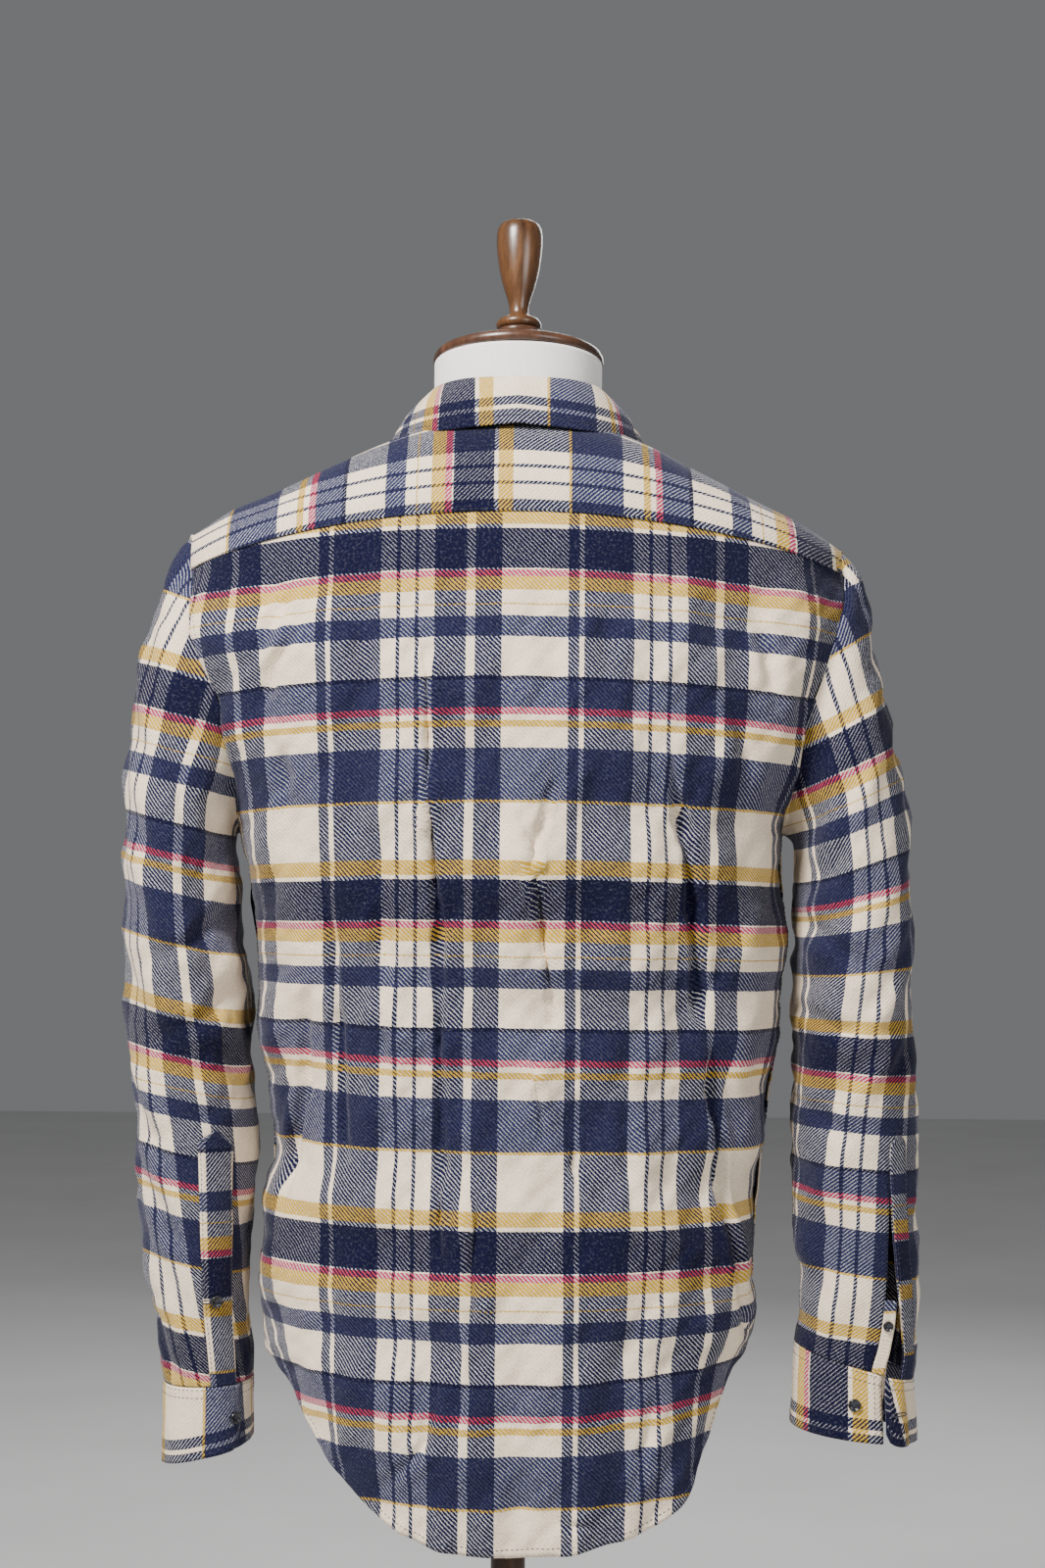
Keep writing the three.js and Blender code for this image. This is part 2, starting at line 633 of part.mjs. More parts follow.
// Collar: a stand round the neck seam and a leaf that folds down over it.
// Turn 0 is the centre back and the turns run to half a circle at the front.
const COLLAR_STAND = table(['turn', 'x', 'y', 'z', 'topX', 'topY', 'topZ'], [
  [0, 0, -68, 1277, 0, -61.5, 1314],
  [30, 42, -58, 1279, 33, -55, 1313.5],
  [60, 68, -31, 1281.5, 57.5, -31.5, 1311.5],
  [90, 76.5, 4, 1281, 66, 1, 1307],
  [115, 75.5, 34, 1267, 62, 30, 1292],
  [140, 60, 57, 1241, 47, 51, 1271],
  [160, 34, 67.5, 1226, 27, 62, 1257],
  [180, 0, 72, 1219.5, 0, 66, 1251],
]);
const COLLAR_LEAF = table(['turn', 'x', 'y', 'z', 'topX', 'topY', 'topZ'], [
  [0, 0, -84, 1281, 0, -63.5, 1315.6],
  [30, 46, -74, 1278, 34.2, -56.9, 1315.1],
  [60, 82, -43.5, 1277, 59.2, -32.4, 1313.1],
  [90, 98, 0, 1276, 68, 1, 1308.6],
  [112, 103, 37, 1255, 66, 30, 1294],
  [135, 88, 77, 1217, 52, 53, 1275],
  [155, 64, 102, 1188, 32, 66, 1261],
  [172, 47, 113, 1172, 9, 72, 1253],
]);
const STAND_LAP = 10;            // turn in degrees by which the stand's ends overlap
const LEAF_END = 172;

function collarPoint(rows, turn, up, lift) {
  const side = turn < 0 ? -1 : 1;
  const value = (name) => read(rows, name, Math.min(180, Math.abs(turn)));
  const past = Math.max(0, Math.abs(turn) - 180) / 180 * Math.PI;
  const x = side * (mix(value('x'), value('topX'), up) - past * 60);
  const y = mix(value('y'), value('topY'), up);
  const point = new THREE.Vector3(x, y, mix(value('z'), value('topZ'), up));
  return point.addScaledVector(new THREE.Vector3(x, y, 0).normalize(), lift);
}

function standGrid() {
  const columns = 32;
  return [0, 0.5, 1].map((up) => Array.from({ length: columns + 1 }, (_, j) => {
    const turn = mix(-180 - STAND_LAP, 178, j / columns);
    return collarPoint(COLLAR_STAND, turn, up, 2.6 * smoothStep(-158, -168, turn));
  }));
}

function leafGrid() {
  const columns = 34;
  return [0, 0.33, 0.66, 1].map((up) => Array.from({ length: columns + 1 }, (_, j) => {
    const turn = mix(-LEAF_END, LEAF_END, j / columns);
    const bulge = 3 * Math.sin(up * Math.PI);
    return collarPoint(COLLAR_LEAF, turn, up, bulge);
  }));
}

// A four-hole button lying on a surface: a shallow dish with a raised rim
function button(radius) {
  const outline = [[0, 0], [radius, 0.3], [radius, 2], [radius * 0.78, BUTTON_HEIGHT], [radius * 0.6, 1.9],
    [0, 1.8]];
  const geometry = new THREE.LatheGeometry(outline.map(([x, y]) => new THREE.Vector2(x, y)), 14);
  return geometry.rotateX(RIGHT_ANGLE);
}

// Materials
const finish = (color, roughness, metalness = 0) => (
  new THREE.MeshStandardMaterial({ color, roughness, metalness, side: THREE.FrontSide })
);
const flannel = finish(0x5b6488, 0.95);
const crossFlannel = finish(0x8d8a94, 0.95);
const buttonBlack = finish(0x15161a, 0.35);
const formCover = finish(0xe9e6e1, 0.9);
const darkWood = finish(0x3a2417, 0.4);
const honeyWood = finish(0x6d4325, 0.35);

const group = new THREE.Group();

function add(name, geometry, material, parent = group) {
  const mesh = new THREE.Mesh(geometry, material);
  mesh.name = name;
  parent.add(mesh);
  return mesh;
}

function addButton(name, seat, radius) {
  const mesh = add(name, button(radius), buttonBlack);
  mesh.position.copy(seat.point);
  mesh.quaternion.setFromUnitVectors(new THREE.Vector3(0, 0, 1), seat.normal);
}

// Body panels
add('back', wall(trimEdges(backGrid(), SIDE_TRIM, SEAM_GAP)), flannel);
const frontLeft = trimEdges(frontGrid(-1), SIDE_TRIM, SEAM_GAP);
add('front_left', wall(frontLeft), flannel);
const frontRight = trimEdges(frontGrid(1), SIDE_TRIM, SEAM_GAP);
add('front_right', wall(frontRight), flannel);
add('yoke', wall(trimEdges(yokeGrid(), SEAM_GAP, SEAM_GAP, true)), crossFlannel);

// Button band: it lies on the edges of both fronts, over the gap between them
const BAND_ROWS = FRONT_ROWS.map((_, i) => i).filter((i) => FRONT_ROWS[i] <= 1200);
const BAND_OVER = 0.14;          // share of a column of the front that the band covers
const band = moveOut(BAND_ROWS.map((i) => {
  const [left, right] = [frontLeft[i], frontRight[i]];
  return [
    sum(right[FRONT_COLUMNS], right[FRONT_COLUMNS - 1], BAND_OVER),
    right[FRONT_COLUMNS],
    left[0],
    sum(left[0], left[1], BAND_OVER),
  ];
}), SEAM_GAP + 0.1 + TRIM);
add('front_placket', wall(band, TRIM), flannel);

const BUTTON_Z = [1165, 1075, 985, 895, 805, 715];
BUTTON_Z.forEach((z, n) => {
  const row = BAND_ROWS.findIndex((_, i) => band[i][1].z > z) - 1;
  const [low, high] = [row, row + 1].map((i) => sum(band[i][1], band[i][2], 0.5));
  const normal = new THREE.Vector3(1, 0, 0).cross(new THREE.Vector3().subVectors(low, high)).normalize();
  const share = (z - low.z) / (high.z - low.z);
  const point = sum(low, high, share).addScaledVector(normal, SEAM_GAP);
  addButton(`front_button_${n + 1}`, { point, normal }, BUTTON_RADIUS);
});

// Collar
add('collar_stand', wall(standGrid()), crossFlannel);
add('collar_leaf', wall(leafGrid()), crossFlannel);

// Sleeves with their plackets, cuffs and buttons
Object.entries(SLEEVE).forEach(([name, sleeve]) => {
  const grid = sleeveGrid(sleeve);
  const closed = sleeveClosed(sleeve);
  add(`sleeve_${name}`, wall(grid, CLOTH, closed), flannel);
  sleeve.grid = grid;
  sleeve.normals = normalsOf(grid, closed);
});

const LEFT_PLACKET = placket(SLEEVE.left, [0.02, 1, 2, 3, 4, 5, 6, 6.25], [-0.52, 0, 0.52]);
add('sleeve_placket_left', wall(LEFT_PLACKET, TRIM), flannel);
const RIGHT_PLACKET = placket(SLEEVE.right, [0.02, 1, 2, 3, 4, 5, 6, 6.25], [0.02, 0.5, 0.98]);
add('sleeve_placket_right', wall(RIGHT_PLACKET, TRIM), flannel);

// The narrow underlap goes on from the slit's back edge, inside the open slit
const UNDERLAP_WIDTH = 8;
const underlap = SLEEVE.right.grid.slice(0, 4).map((row) => {
  const edge = row[SLEEVE_COLUMNS];
  const along = new THREE.Vector3().subVectors(edge, row[SLEEVE_COLUMNS - 1]).normalize();
  return [SEAM_GAP, SEAM_GAP + UNDERLAP_WIDTH].map((step) => edge.clone().addScaledVector(along, step));
});
add('sleeve_underlap_right', wall(underlap, TRIM), flannel);

const cuffLeft = cuffGrid(SLEEVE.left, {
  from: 122, to: 122 + 376, lap: 2.3, curl: 0, flare: 0.5, outHeight: CUFF_HEIGHT, inHeight: CUFF_HEIGHT - CUFF_SLANT,
});
add('cuff_left', wall(cuffLeft), crossFlannel);
const cuffRight = cuffGrid(SLEEVE.right, {
  from: 84, to: 84 + 336, lap: 0, curl: -9, flare: 3, outHeight: CUFF_HEIGHT - CUFF_SLANT, inHeight: CUFF_HEIGHT,
});
add('cuff_right', wall(cuffRight), crossFlannel);

// Where a button lies on a grid, at a place between its rows and columns
function seatOn(grid, rowAt, columnAt) {
  return onGrid(grid, normalsOf(grid, () => false), rowAt, columnAt, SEAM_GAP + 0.15);
}
addButton('sleeve_button_left', seatOn(LEFT_PLACKET, 3.1, 1), SMALL_BUTTON_RADIUS);
addButton('sleeve_button_right', seatOn(underlap, 2.4, 0.5), SMALL_BUTTON_RADIUS - 0.8);
addButton('cuff_button_left', seatOn(cuffLeft, 1, CUFF_STEPS - 0.6), SMALL_BUTTON_RADIUS);
addButton('cuff_button_right', seatOn(cuffRight, 1, CUFF_STEPS - 0.9), SMALL_BUTTON_RADIUS);
addButton('collar_button', seatOn(standGrid(), 1, 1.1), SMALL_BUTTON_RADIUS);

// Dress form: one smooth body, its neck cut at a slant for the cap
const FORM_SIDES = 28;
const FORM_HEIGHTS = FORM.map((row) => row.z);
const formRing = (z) => Array.from({ length: FORM_SIDES }, (_, j) => {
  const turn = j / FORM_SIDES * 2 * Math.PI;
  const [across, along] = [Math.cos(turn), Math.sin(turn)];
  const depth = read(FORM, along < 0 ? 'back' : 'front', z);
  const y = depth * Math.sign(along) * Math.abs(along) ** 0.95;
  const slant = Math.tan(NECK_TILT) * y * smoothStep(1290, NECK_TOP_Z, z);
  return new THREE.Vector3(read(FORM, 'side', z) * Math.sign(across) * Math.abs(across) ** 0.95, y, z - slant);
});
add('form_torso', loft(FORM_HEIGHTS.map(formRing)), formCover);

// Neck cap and finial, tilted with the neck
const neckTop = new THREE.Group();
neckTop.position.set(0, 2, NECK_TOP_Z + SEAM_GAP);
neckTop.rotation.x = -NECK_TILT;
group.add(neckTop);
const turned = (outline, segments) => new THREE.LatheGeometry(
  outline.map(([x, y]) => new THREE.Vector2(x, y)),
  segments,
).rotateX(RIGHT_ANGLE);
const capOutline = [[0, 0], [CAP_RADIUS - 2, 0], [CAP_RADIUS, 2], [CAP_RADIUS, 6], [CAP_RADIUS - 2, 8],
  [52, 10.5], [36, 15], [22, 20], [16.5, 25], [16.5, 28], [0, 28]];
add('neck_cap', turned(capOutline, 30), darkWood, neckTop);
const finialOutline = [[0, 28.3], [14, 28.3], [16.5, 31], [16.5, 34], [13, 37], [8, 39], [7, 43], [8, 50],
  [11.5, 62], [15, 78], [17, 94], [17, 104], [15.5, 109.5], [11, 112.5], [0, 113]];
add('finial', turned(finialOutline, 20), honeyWood, neckTop);

// Stand
const poleLength = FORM_BOTTOM_Z - BASE_HEIGHT - 2 * SEAM_GAP;
const pole = add('pole', new THREE.CylinderGeometry(POLE_RADIUS, POLE_RADIUS, poleLength, 20), darkWood);
pole.rotation.x = RIGHT_ANGLE;
pole.position.z = BASE_HEIGHT + SEAM_GAP + poleLength / 2;
const baseOutline = [[0, 0], [BASE_RADIUS - 3, 0], [BASE_RADIUS, 3], [BASE_RADIUS, 14], [BASE_RADIUS - 8, 20],
  [BASE_RADIUS - 22, 22], [60, BASE_HEIGHT], [0, BASE_HEIGHT]];
add('base', turned(baseOutline, 36), darkWood);

export default group;
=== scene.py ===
# Looks of a men's plaid flannel shirt on a dress form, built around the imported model.
# Tables and shapes are in millimetres, as in the part's source; meshes are made in metres.

import math

import bmesh
import bpy
import numpy as np
from mathutils import Matrix, Vector


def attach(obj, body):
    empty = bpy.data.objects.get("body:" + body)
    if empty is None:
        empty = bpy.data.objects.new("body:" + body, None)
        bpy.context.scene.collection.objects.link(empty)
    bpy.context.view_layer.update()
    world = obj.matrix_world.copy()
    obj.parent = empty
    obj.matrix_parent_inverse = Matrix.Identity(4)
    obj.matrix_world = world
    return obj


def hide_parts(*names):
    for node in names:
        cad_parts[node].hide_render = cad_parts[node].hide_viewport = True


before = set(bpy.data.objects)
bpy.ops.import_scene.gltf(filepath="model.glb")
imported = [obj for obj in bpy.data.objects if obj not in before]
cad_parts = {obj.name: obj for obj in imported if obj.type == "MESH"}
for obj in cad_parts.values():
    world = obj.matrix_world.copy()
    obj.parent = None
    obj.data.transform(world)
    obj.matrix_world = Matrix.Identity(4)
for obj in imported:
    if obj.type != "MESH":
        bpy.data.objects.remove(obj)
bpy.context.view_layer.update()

MM = 0.001
STEP = 3.3                   # size of the cloth's mesh cells
CLOTH = 1.1                  # thickness that the flannel is drawn with
ROUNDNESS = 2.3
UNDERARM_Z = 985
BACK_SEAM_Z = 1212
BACK_SEAM_DROP = 35
BACK_HEM_Z = 481
FRONT_HEM_Z = 500
SIDE_HEM_Z = 612
HEM_BLEND_Z = 660
TOP_BLEND_Z = 1110
NECK_FRONT_Z = 1216
NECK_RISE = 34
NECK_SIDE = 75.5
NECK_BACK = 68
NECK_CORNER = 0.62
OVERLAP = 17
CUFF_HEIGHT = 58
CUFF_SLANT = 14              # a cuff is this much lower on one side than on the other
YOKE_HALF_WIDTH = 237.5
SLEEVE_GAP = 1.6
SIN_POWER = 2 / ROUNDNESS
RIGHT_ANGLE = math.pi / 2


def table(names, rows):
    columns = {name: np.array([row[i] for row in rows], float) for i, name in enumerate(names)}
    columns["key"] = columns[names[0]]
    return columns


TORSO = table(["z", "left", "right", "back", "front"], [
    [470, 163, 160, 110, 112],
    [540, 170, 164, 116, 116],
    [600, 178, 170, 120, 120],
    [658, 184, 177, 118, 121],
    [709, 180, 181, 112, 118],
    [767, 174, 187, 108, 116],
    [818, 180, 195, 111, 117],
    [860, 186, 197, 115, 119],
    [905, 191, 198, 120, 122],
    [945, 196, 199, 124, 125],
    [985, 199, 200, 127, 127],
])
BACK_EDGE = table(["z", "x", "y", "depth"], [
    [985, 199, 0, 127],
    [1000, 199, 30, 128],
    [1035, 203, 54, 129],
    [1061, 209, 62, 129],
    [1081, 216, 65, 129],
    [1106, 225, 66, 128],
    [1129, 231, 62, 126],
    [1152, 236, 52, 123],
    [1177, 237.5, 33, 119],
    [1212, 237.5, 33, 113],
])
FRONT_EDGE = table(["z", "x", "y", "depth"], [
    [985, 199, 0, 127],
    [1000, 199, 30, 128],
    [1035, 199.5, 54, 129],
    [1061, 201, 63, 129],
    [1081, 204, 66, 128],
    [1106, 208, 65, 125],
    [1129, 213, 60, 121],
    [1152, 219, 51, 114],
    [1180, 226, 37, 102],
    [1200, 182, 40, 86],
    [1218, 145, 41, 70],
    [1236, 104, 42, 58],
    [1250, 74, 43, 50],
])
RIDGE = table(["x", "left", "right"], [
    [0, 1290, 1290],
    [60, 1281, 1281],
    [94, 1269, 1268],
    [122, 1258, 1255],
    [153, 1246, 1242],
    [182, 1234, 1229],
    [210, 1223, 1216],
    [225, 1214, 1207],
    [239, 1205, 1197],
])
HEM_SHAPE = table(["angle", "left", "right", "front"], [
    [0, 0, 0, 0],
    [10, 0.02, 0.01, 0.01],
    [20, 0.08, 0.05, 0.05],
    [31, 0.2, 0.1, 0.16],
    [43, 0.42, 0.22, 0.4],
    [57, 0.74, 0.5, 0.75],
    [72, 0.96, 0.93, 0.96],
    [90, 1, 1, 1],
])
SLEEVE_LEFT = table(["k", "outX", "outZ", "inX", "inZ", "depth", "y", "blend"], [
    [0, 239, 1204, 199, 985, 66, 0, 0],
    [1, 262, 1171, 204.5, 973, 72, -1, 0.4],
    [2, 276, 1122, 205, 957, 76, -2, 0.75],
    [3, 282.5, 1065, 203, 936, 77, -3, 0.95],
    [4, 285.5, 1008, 200, 910, 76, -4, 1],
    [5, 285.5, 949, 197, 880, 74, -4, 1],
    [6, 284, 890, 193.5, 845, 70, -5, 1],
    [7, 280.5, 828, 190, 800, 65, -6, 1],
    [8, 275.5, 766, 187.5, 752, 60, -6, 1],
    [9, 270, 705, 188, 698, 56, -7, 1],
    [10, 263, 650, 189, 648, 51, -8, 1],
    [11, 256, 608, 188, 608, 46, -8, 1],
    [12, 252, 584, 187, 586, 43, -8, 1],
])
SLEEVE_RIGHT = table(["k", "outX", "outZ", "inX", "inZ", "depth", "y", "blend"], [
    [0, 239, 1197, 200, 985, 66, 0, 0],
    [1, 260, 1163, 206, 973, 72, -1, 0.4],
    [2, 271, 1110, 209, 957, 75, -2, 0.75],
    [3, 280, 1052, 209, 936, 77, -3, 0.95],
    [4, 286, 994, 208, 910, 76, -4, 1],
    [5, 290.5, 935, 207, 880, 73, -4, 1],
    [6, 293, 877, 206, 845, 69, -5, 1],
    [7, 294, 820, 205.5, 800, 64, -6, 1],
    [8, 294, 760, 207, 750, 59, -6, 1],
    [9, 295.5, 700, 210, 697, 55, -7, 1],
    [10, 297, 648, 213, 660, 51, -8, 1],
    [11, 297.5, 611, 212, 634, 47, -8, 1],
    [12, 295, 590, 208, 614, 45, -8, 1],
])
COLLAR_STAND = table(["turn", "x", "y", "z", "topX", "topY", "topZ"], [
    [0, 0, -68, 1277, 0, -61.5, 1314],
    [30, 42, -58, 1279, 33, -55, 1313.5],
    [60, 68, -31, 1281.5, 57.5, -31.5, 1311.5],
    [90, 76.5, 4, 1281, 66, 1, 1307],
    [115, 75.5, 34, 1267, 62, 30, 1292],
    [140, 60, 57, 1241, 47, 51, 1271],
    [160, 34, 67.5, 1226, 27, 62, 1257],
    [180, 0, 72, 1219.5, 0, 66, 1251],
])
COLLAR_LEAF = table(["turn", "x", "y", "z", "topX", "topY", "topZ"], [
    [0, 0, -84, 1281, 0, -63.5, 1315.6],
    [30, 46, -74, 1278, 34.2, -56.9, 1315.1],
    [60, 82, -43.5, 1277, 59.2, -32.4, 1313.1],
    [90, 98, 0, 1276, 68, 1, 1308.6],
    [112, 103, 37, 1255, 66, 30, 1294],
    [135, 88, 77, 1217, 52, 53, 1275],
    [155, 64, 102, 1188, 32, 66, 1261],
    [172, 47, 113, 1172, 9, 72, 1253],
])
FORM = table(["z", "side", "back", "front"], [
    [606, 140, 86, 86],
    [618, 152, 96, 95],
    [640, 160, 100, 99],
    [680, 162, 99, 99],
    [740, 151, 94, 97],
    [790, 143, 91, 96],
    [845, 147, 93, 100],
    [905, 157, 99, 106],
    [965, 168, 104, 111],
    [1030, 177, 107, 113],
    [1090, 185, 107, 107],
    [1140, 193, 103, 90],
    [1175, 198, 97, 72],
    [1197, 199, 91, 62],
    [1212, 192, 87, 56],
    [1225, 176, 82, 53],
    [1240, 146, 76, 51],
    [1254, 113, 70, 50],
    [1266, 84, 65, 50],
    [1277, 69, 61.5, 52],
    [1300, 63, 58.5, 55],
    [1318, 62.5, 58, 58],
    [1334, 62.5, 58, 62],
])

# The main folds: the part's own soft troughs, which the solids have too
BACK_FOLDS = [
    dict(x1=-62, z1=1105, x2=-50, z2=700, width=15, depth=4.5),
    dict(x1=14, z1=985, x2=31, z2=850, width=13, depth=4),
    dict(x1=108, z1=1035, x2=138, z2=850, width=16, depth=5),
    dict(x1=-133, z1=950, x2=-118, z2=760, width=15, depth=4.5),
    dict(x1=-148, z1=860, x2=-160, z2=730, width=13, depth=5),
    dict(x1=146, z1=850, x2=165, z2=690, width=13, depth=5),
    dict(x1=40, z1=785, x2=52, z2=745, width=14, depth=3),
    dict(x1=-27, z1=640, x2=-25, z2=570, width=12, depth=-4),
]
FRONT_FOLDS = [
    dict(x1=-150, z1=1120, x2=-95, z2=950, width=15, depth=4),
    dict(x1=150, z1=1115, x2=100, z2=960, width=15, depth=4),
    dict(x1=-120, z1=880, x2=-110, z2=640, width=16, depth=5),
    dict(x1=120, z1=900, x2=128, z2=660, width=15, depth=5),
    dict(x1=-60, z1=760, x2=-66, z2=570, width=14, depth=3.5),
    dict(x1=66, z1=740, x2=60, z2=560, width=14, depth=3.5),
]


def mix(a, b, share):
    return a + (b - a) * share


def smooth_step(low, high, value):
    share = np.clip((np.asarray(value, float) - low) / (high - low), 0, 1)
    return share * share * (3 - 2 * share)


def signed_power(value, power):
    return np.sign(value) * np.abs(value) ** power


def read(rows, name, value):
    """Smooth values between a table's rows."""
    keys, data = rows["key"], rows[name]
    value = np.clip(np.asarray(value, float), keys[0], keys[-1])
    steps = np.diff(keys)
    slopes = np.diff(data) / steps
    product = slopes[:-1] * slopes[1:]
    total = slopes[:-1] + slopes[1:]
    inner = np.where(product > 0, 2 * product / np.where(total == 0, 1, total), 0)
    tangent = np.concatenate([slopes[:1], inner, slopes[-1:]])
    i = np.clip(np.searchsorted(keys, value, side="right") - 1, 0, len(keys) - 2)
    share = (value - keys[i]) / steps[i]
    square, cube = share ** 2, share ** 3
    return ((2 * cube - 3 * square + 1) * data[i]
            + (cube - 2 * square + share) * steps[i] * tangent[i]
            + (3 * square - 2 * cube) * data[i + 1]
            + (cube - square) * steps[i] * tangent[i + 1])


# Torso: superellipse sections, cut off at the armhole
def section(face, right, z):
    edges = BACK_EDGE if face == "back" else FRONT_EDGE
    low = z < UNDERARM_Z
    depth = np.where(low, read(TORSO, face, z), read(edges, "depth", z))
    side_x = np.where(right, read(TORSO, "right", z), read(TORSO, "left", z))
    edge_x = np.where(low, side_x, read(edges, "x", z))
    edge_y = np.where(low, 0, read(edges, "y", z))
    width = edge_x / (1 - (edge_y / depth) ** ROUNDNESS) ** (1 / ROUNDNESS)
    angle = np.arcsin((edge_x / width) ** (ROUNDNESS / 2))
    return width, depth, angle


def on_torso(face, right, angle, z):
    width, depth, _ = section(face, right, z)
    x = np.where(right, 1, -1) * width * np.sin(angle) ** SIN_POWER
    y = depth * np.maximum(0, np.cos(angle)) ** SIN_POWER
    return np.stack([x, -y if face == "back" else y, z + 0 * x], axis=-1)


def angle_at_x(face, x, z):
    width = section(face, x > 0, z)[0]
    return np.arcsin(np.clip(np.abs(x) / width, 0, 1) ** (ROUNDNESS / 2))


def even_shares(count):
    """Shares of a quarter section's angle that lie evenly along its line."""
    angle = np.linspace(0, RIGHT_ANGLE, 600)
    line = np.stack([187 * np.sin(angle) ** SIN_POWER, 115 * np.cos(angle) ** SIN_POWER], axis=-1)
    length = np.concatenate([[0], np.cumsum(np.linalg.norm(np.diff(line, axis=0), axis=1))])
    return np.interp(np.linspace(0, length[-1], count + 1), length, angle / RIGHT_ANGLE)


def add_folds(points, folds, face):
    inward = np.stack([-points[..., 0] / 4, np.full(points.shape[:-1], 60 if face == "back" else -60.0),
                       np.zeros(points.shape[:-1])], axis=-1)
    inward /= np.linalg.norm(inward, axis=-1, keepdims=True)
    for fold in folds:
        along = np.array([fold["x2"] - fold["x1"], fold["z2"] - fold["z1"]], float)
        length = np.hypot(*along)
        dx, dz = points[..., 0] - fold["x1"], points[..., 2] - fold["z1"]
        place = (dx * along[0] + dz * along[1]) / length ** 2
        across = (dx * along[1] - dz * along[0]) / length
        taper = smooth_step(-0.15, 0.2, place) * smooth_step(1.15, 0.8, place)
        trough = fold["depth"] * taper * np.exp(-(across / fold["width"]) ** 2)
        points = points + inward * trough[..., None]
    return points


def back_seam_z(x):
    return BACK_SEAM_Z - BACK_SEAM_DROP * (x / YOKE_HALF_WIDTH) ** 2


def hem_z(face, right, angle):
    degrees = np.degrees(angle)
    if face == "front":
        return mix(FRONT_HEM_Z, SIDE_HEM_Z, read(HEM_SHAPE, "front", degrees))
    rise = np.where(right, read(HEM_SHAPE, "right", degrees), read(HEM_SHAPE, "left", degrees))
    return mix(BACK_HEM_Z, SIDE_HEM_Z, rise)


def ladder(low, high, step=STEP):
    return np.linspace(low, high, max(2, int(round((high - low) / step)) + 1))


def back_grid(top_extra=4):
    heights = np.concatenate([ladder(BACK_HEM_Z, BACK_SEAM_Z), [BACK_SEAM_Z + top_extra]])[:, None]
    half = even_shares(92)
    share = np.concatenate([-half[:0:-1], half])[None, :]
    right = share > 0
    size = np.abs(share)
    up = (heights - BACK_HEM_Z) / (HEM_BLEND_Z - BACK_HEM_Z)
    low_z = mix(hem_z("back", right, size * RIGHT_ANGLE), HEM_BLEND_Z, up)
    z = np.where(heights < HEM_BLEND_Z, low_z, heights + 0 * share)

    def place(at):
        return on_torso("back", right, size * section("back", right, at)[2], at)

    up = (heights - TOP_BLEND_Z) / (BACK_SEAM_Z - TOP_BLEND_Z)
    for _ in range(12):
        z = np.where(heights > TOP_BLEND_Z, mix(TOP_BLEND_Z, back_seam_z(place(z)[..., 0]), up), z)
    return add_folds(place(z), BACK_FOLDS, "back")


def front_grid(right):
    heights = ladder(FRONT_HEM_Z, 1247)[:, None]
    share = even_shares(78)[None, :]
    up = (heights - FRONT_HEM_Z) / (HEM_BLEND_Z - FRONT_HEM_Z)
    low_z = mix(hem_z("front", right, share * RIGHT_ANGLE), HEM_BLEND_Z, up)
    z = np.where(heights < HEM_BLEND_Z, low_z, heights + 0 * share)
    neck = np.where(z > NECK_FRONT_Z, 74 * np.sqrt(np.maximum(0, z - NECK_FRONT_Z) / NECK_RISE), 0)
    start = angle_at_x("front", (1 if right else -1) * np.maximum(OVERLAP, neck), z)
    angle = section("front", right, z)[2]
    points = on_torso("front", right, mix(start, angle, share), z)
    if right:
        points = points[:, ::-1]
    return add_folds(points, FRONT_FOLDS, "front")


# Yoke: profiles over the shoulder, from the back seam (0) over the ridge (0.5) to the front (1)
def front_seam(x):
    z = np.linspace(1180, 1250, 600)
    edge = read(FRONT_EDGE, "x", z)
    height = np.interp(np.clip(np.abs(x), 74, 226), edge[::-1], z[::-1])
    return np.stack([x, read(FRONT_EDGE, "y", height), height], axis=-1)


def shoulder(x, place):
    x, place = np.broadcast_arrays(np.asarray(x, float), np.asarray(place, float))
    ridge_z = np.where(x < 0, read(RIDGE, "left", np.abs(x)), read(RIDGE, "right", np.abs(x)))
    seam_z = back_seam_z(x)
    back = on_torso("back", x > 0, angle_at_x("back", x, seam_z), seam_z)
    behind = (place <= 0.5)[..., None]
    start = np.where(behind, back, front_seam(x))
    angle = np.where(place <= 0.5, place, 1 - place) * math.pi
    return np.stack([x, start[..., 1] * np.cos(angle), mix(start[..., 2], ridge_z, np.sin(angle))], axis=-1)


def armhole_x(place):
    return np.where(place <= 0.5, mix(YOKE_HALF_WIDTH, 239, place * 2), mix(239, 226, place * 2 - 1))


def neck_on_shoulder(turn):
    side, size = np.where(turn < 0, -1, 1), np.abs(turn)
    x = side * NECK_SIDE * np.sin(np.minimum(size, RIGHT_ANGLE)) ** 0.9
    y = NECK_BACK * np.maximum(0, np.cos(np.minimum(size, RIGHT_ANGLE))) ** 0.9
    place = np.arccos(np.clip(y / -shoulder(x, 0 * x)[..., 1], 0, 1)) / math.pi
    past = (size - RIGHT_ANGLE) / NECK_CORNER
    x = np.where(past > 0, side * mix(NECK_SIDE, 74, past), x)
    return x, np.where(past > 0, mix(0.5, 1, past), place)


def yoke_grid():
    corner, front = RIGHT_ANGLE * 0.72, RIGHT_ANGLE + NECK_CORNER
    up = np.linspace(0, 1, 34)
    behind = np.linspace(0, 1, 140)[1:-1]
    turn = np.concatenate([mix(-front, -corner, up), mix(-corner, corner, behind), mix(corner, front, up)])
    seam_x = mix(-YOKE_HALF_WIDTH, YOKE_HALF_WIDTH, behind)
    x = np.concatenate([-armhole_x(1 - up), seam_x, armhole_x(up)])
    place = np.concatenate([1 - up, 0 * behind, up])
    neck_x, neck_place = neck_on_shoulder(turn)
    share = np.concatenate([[-0.02], np.linspace(0, 1, 32)])[:, None]
    x, place = mix(x, neck_x, share), mix(place, neck_place, share)
    return shoulder(x, place), share, profile_arc(x, place)


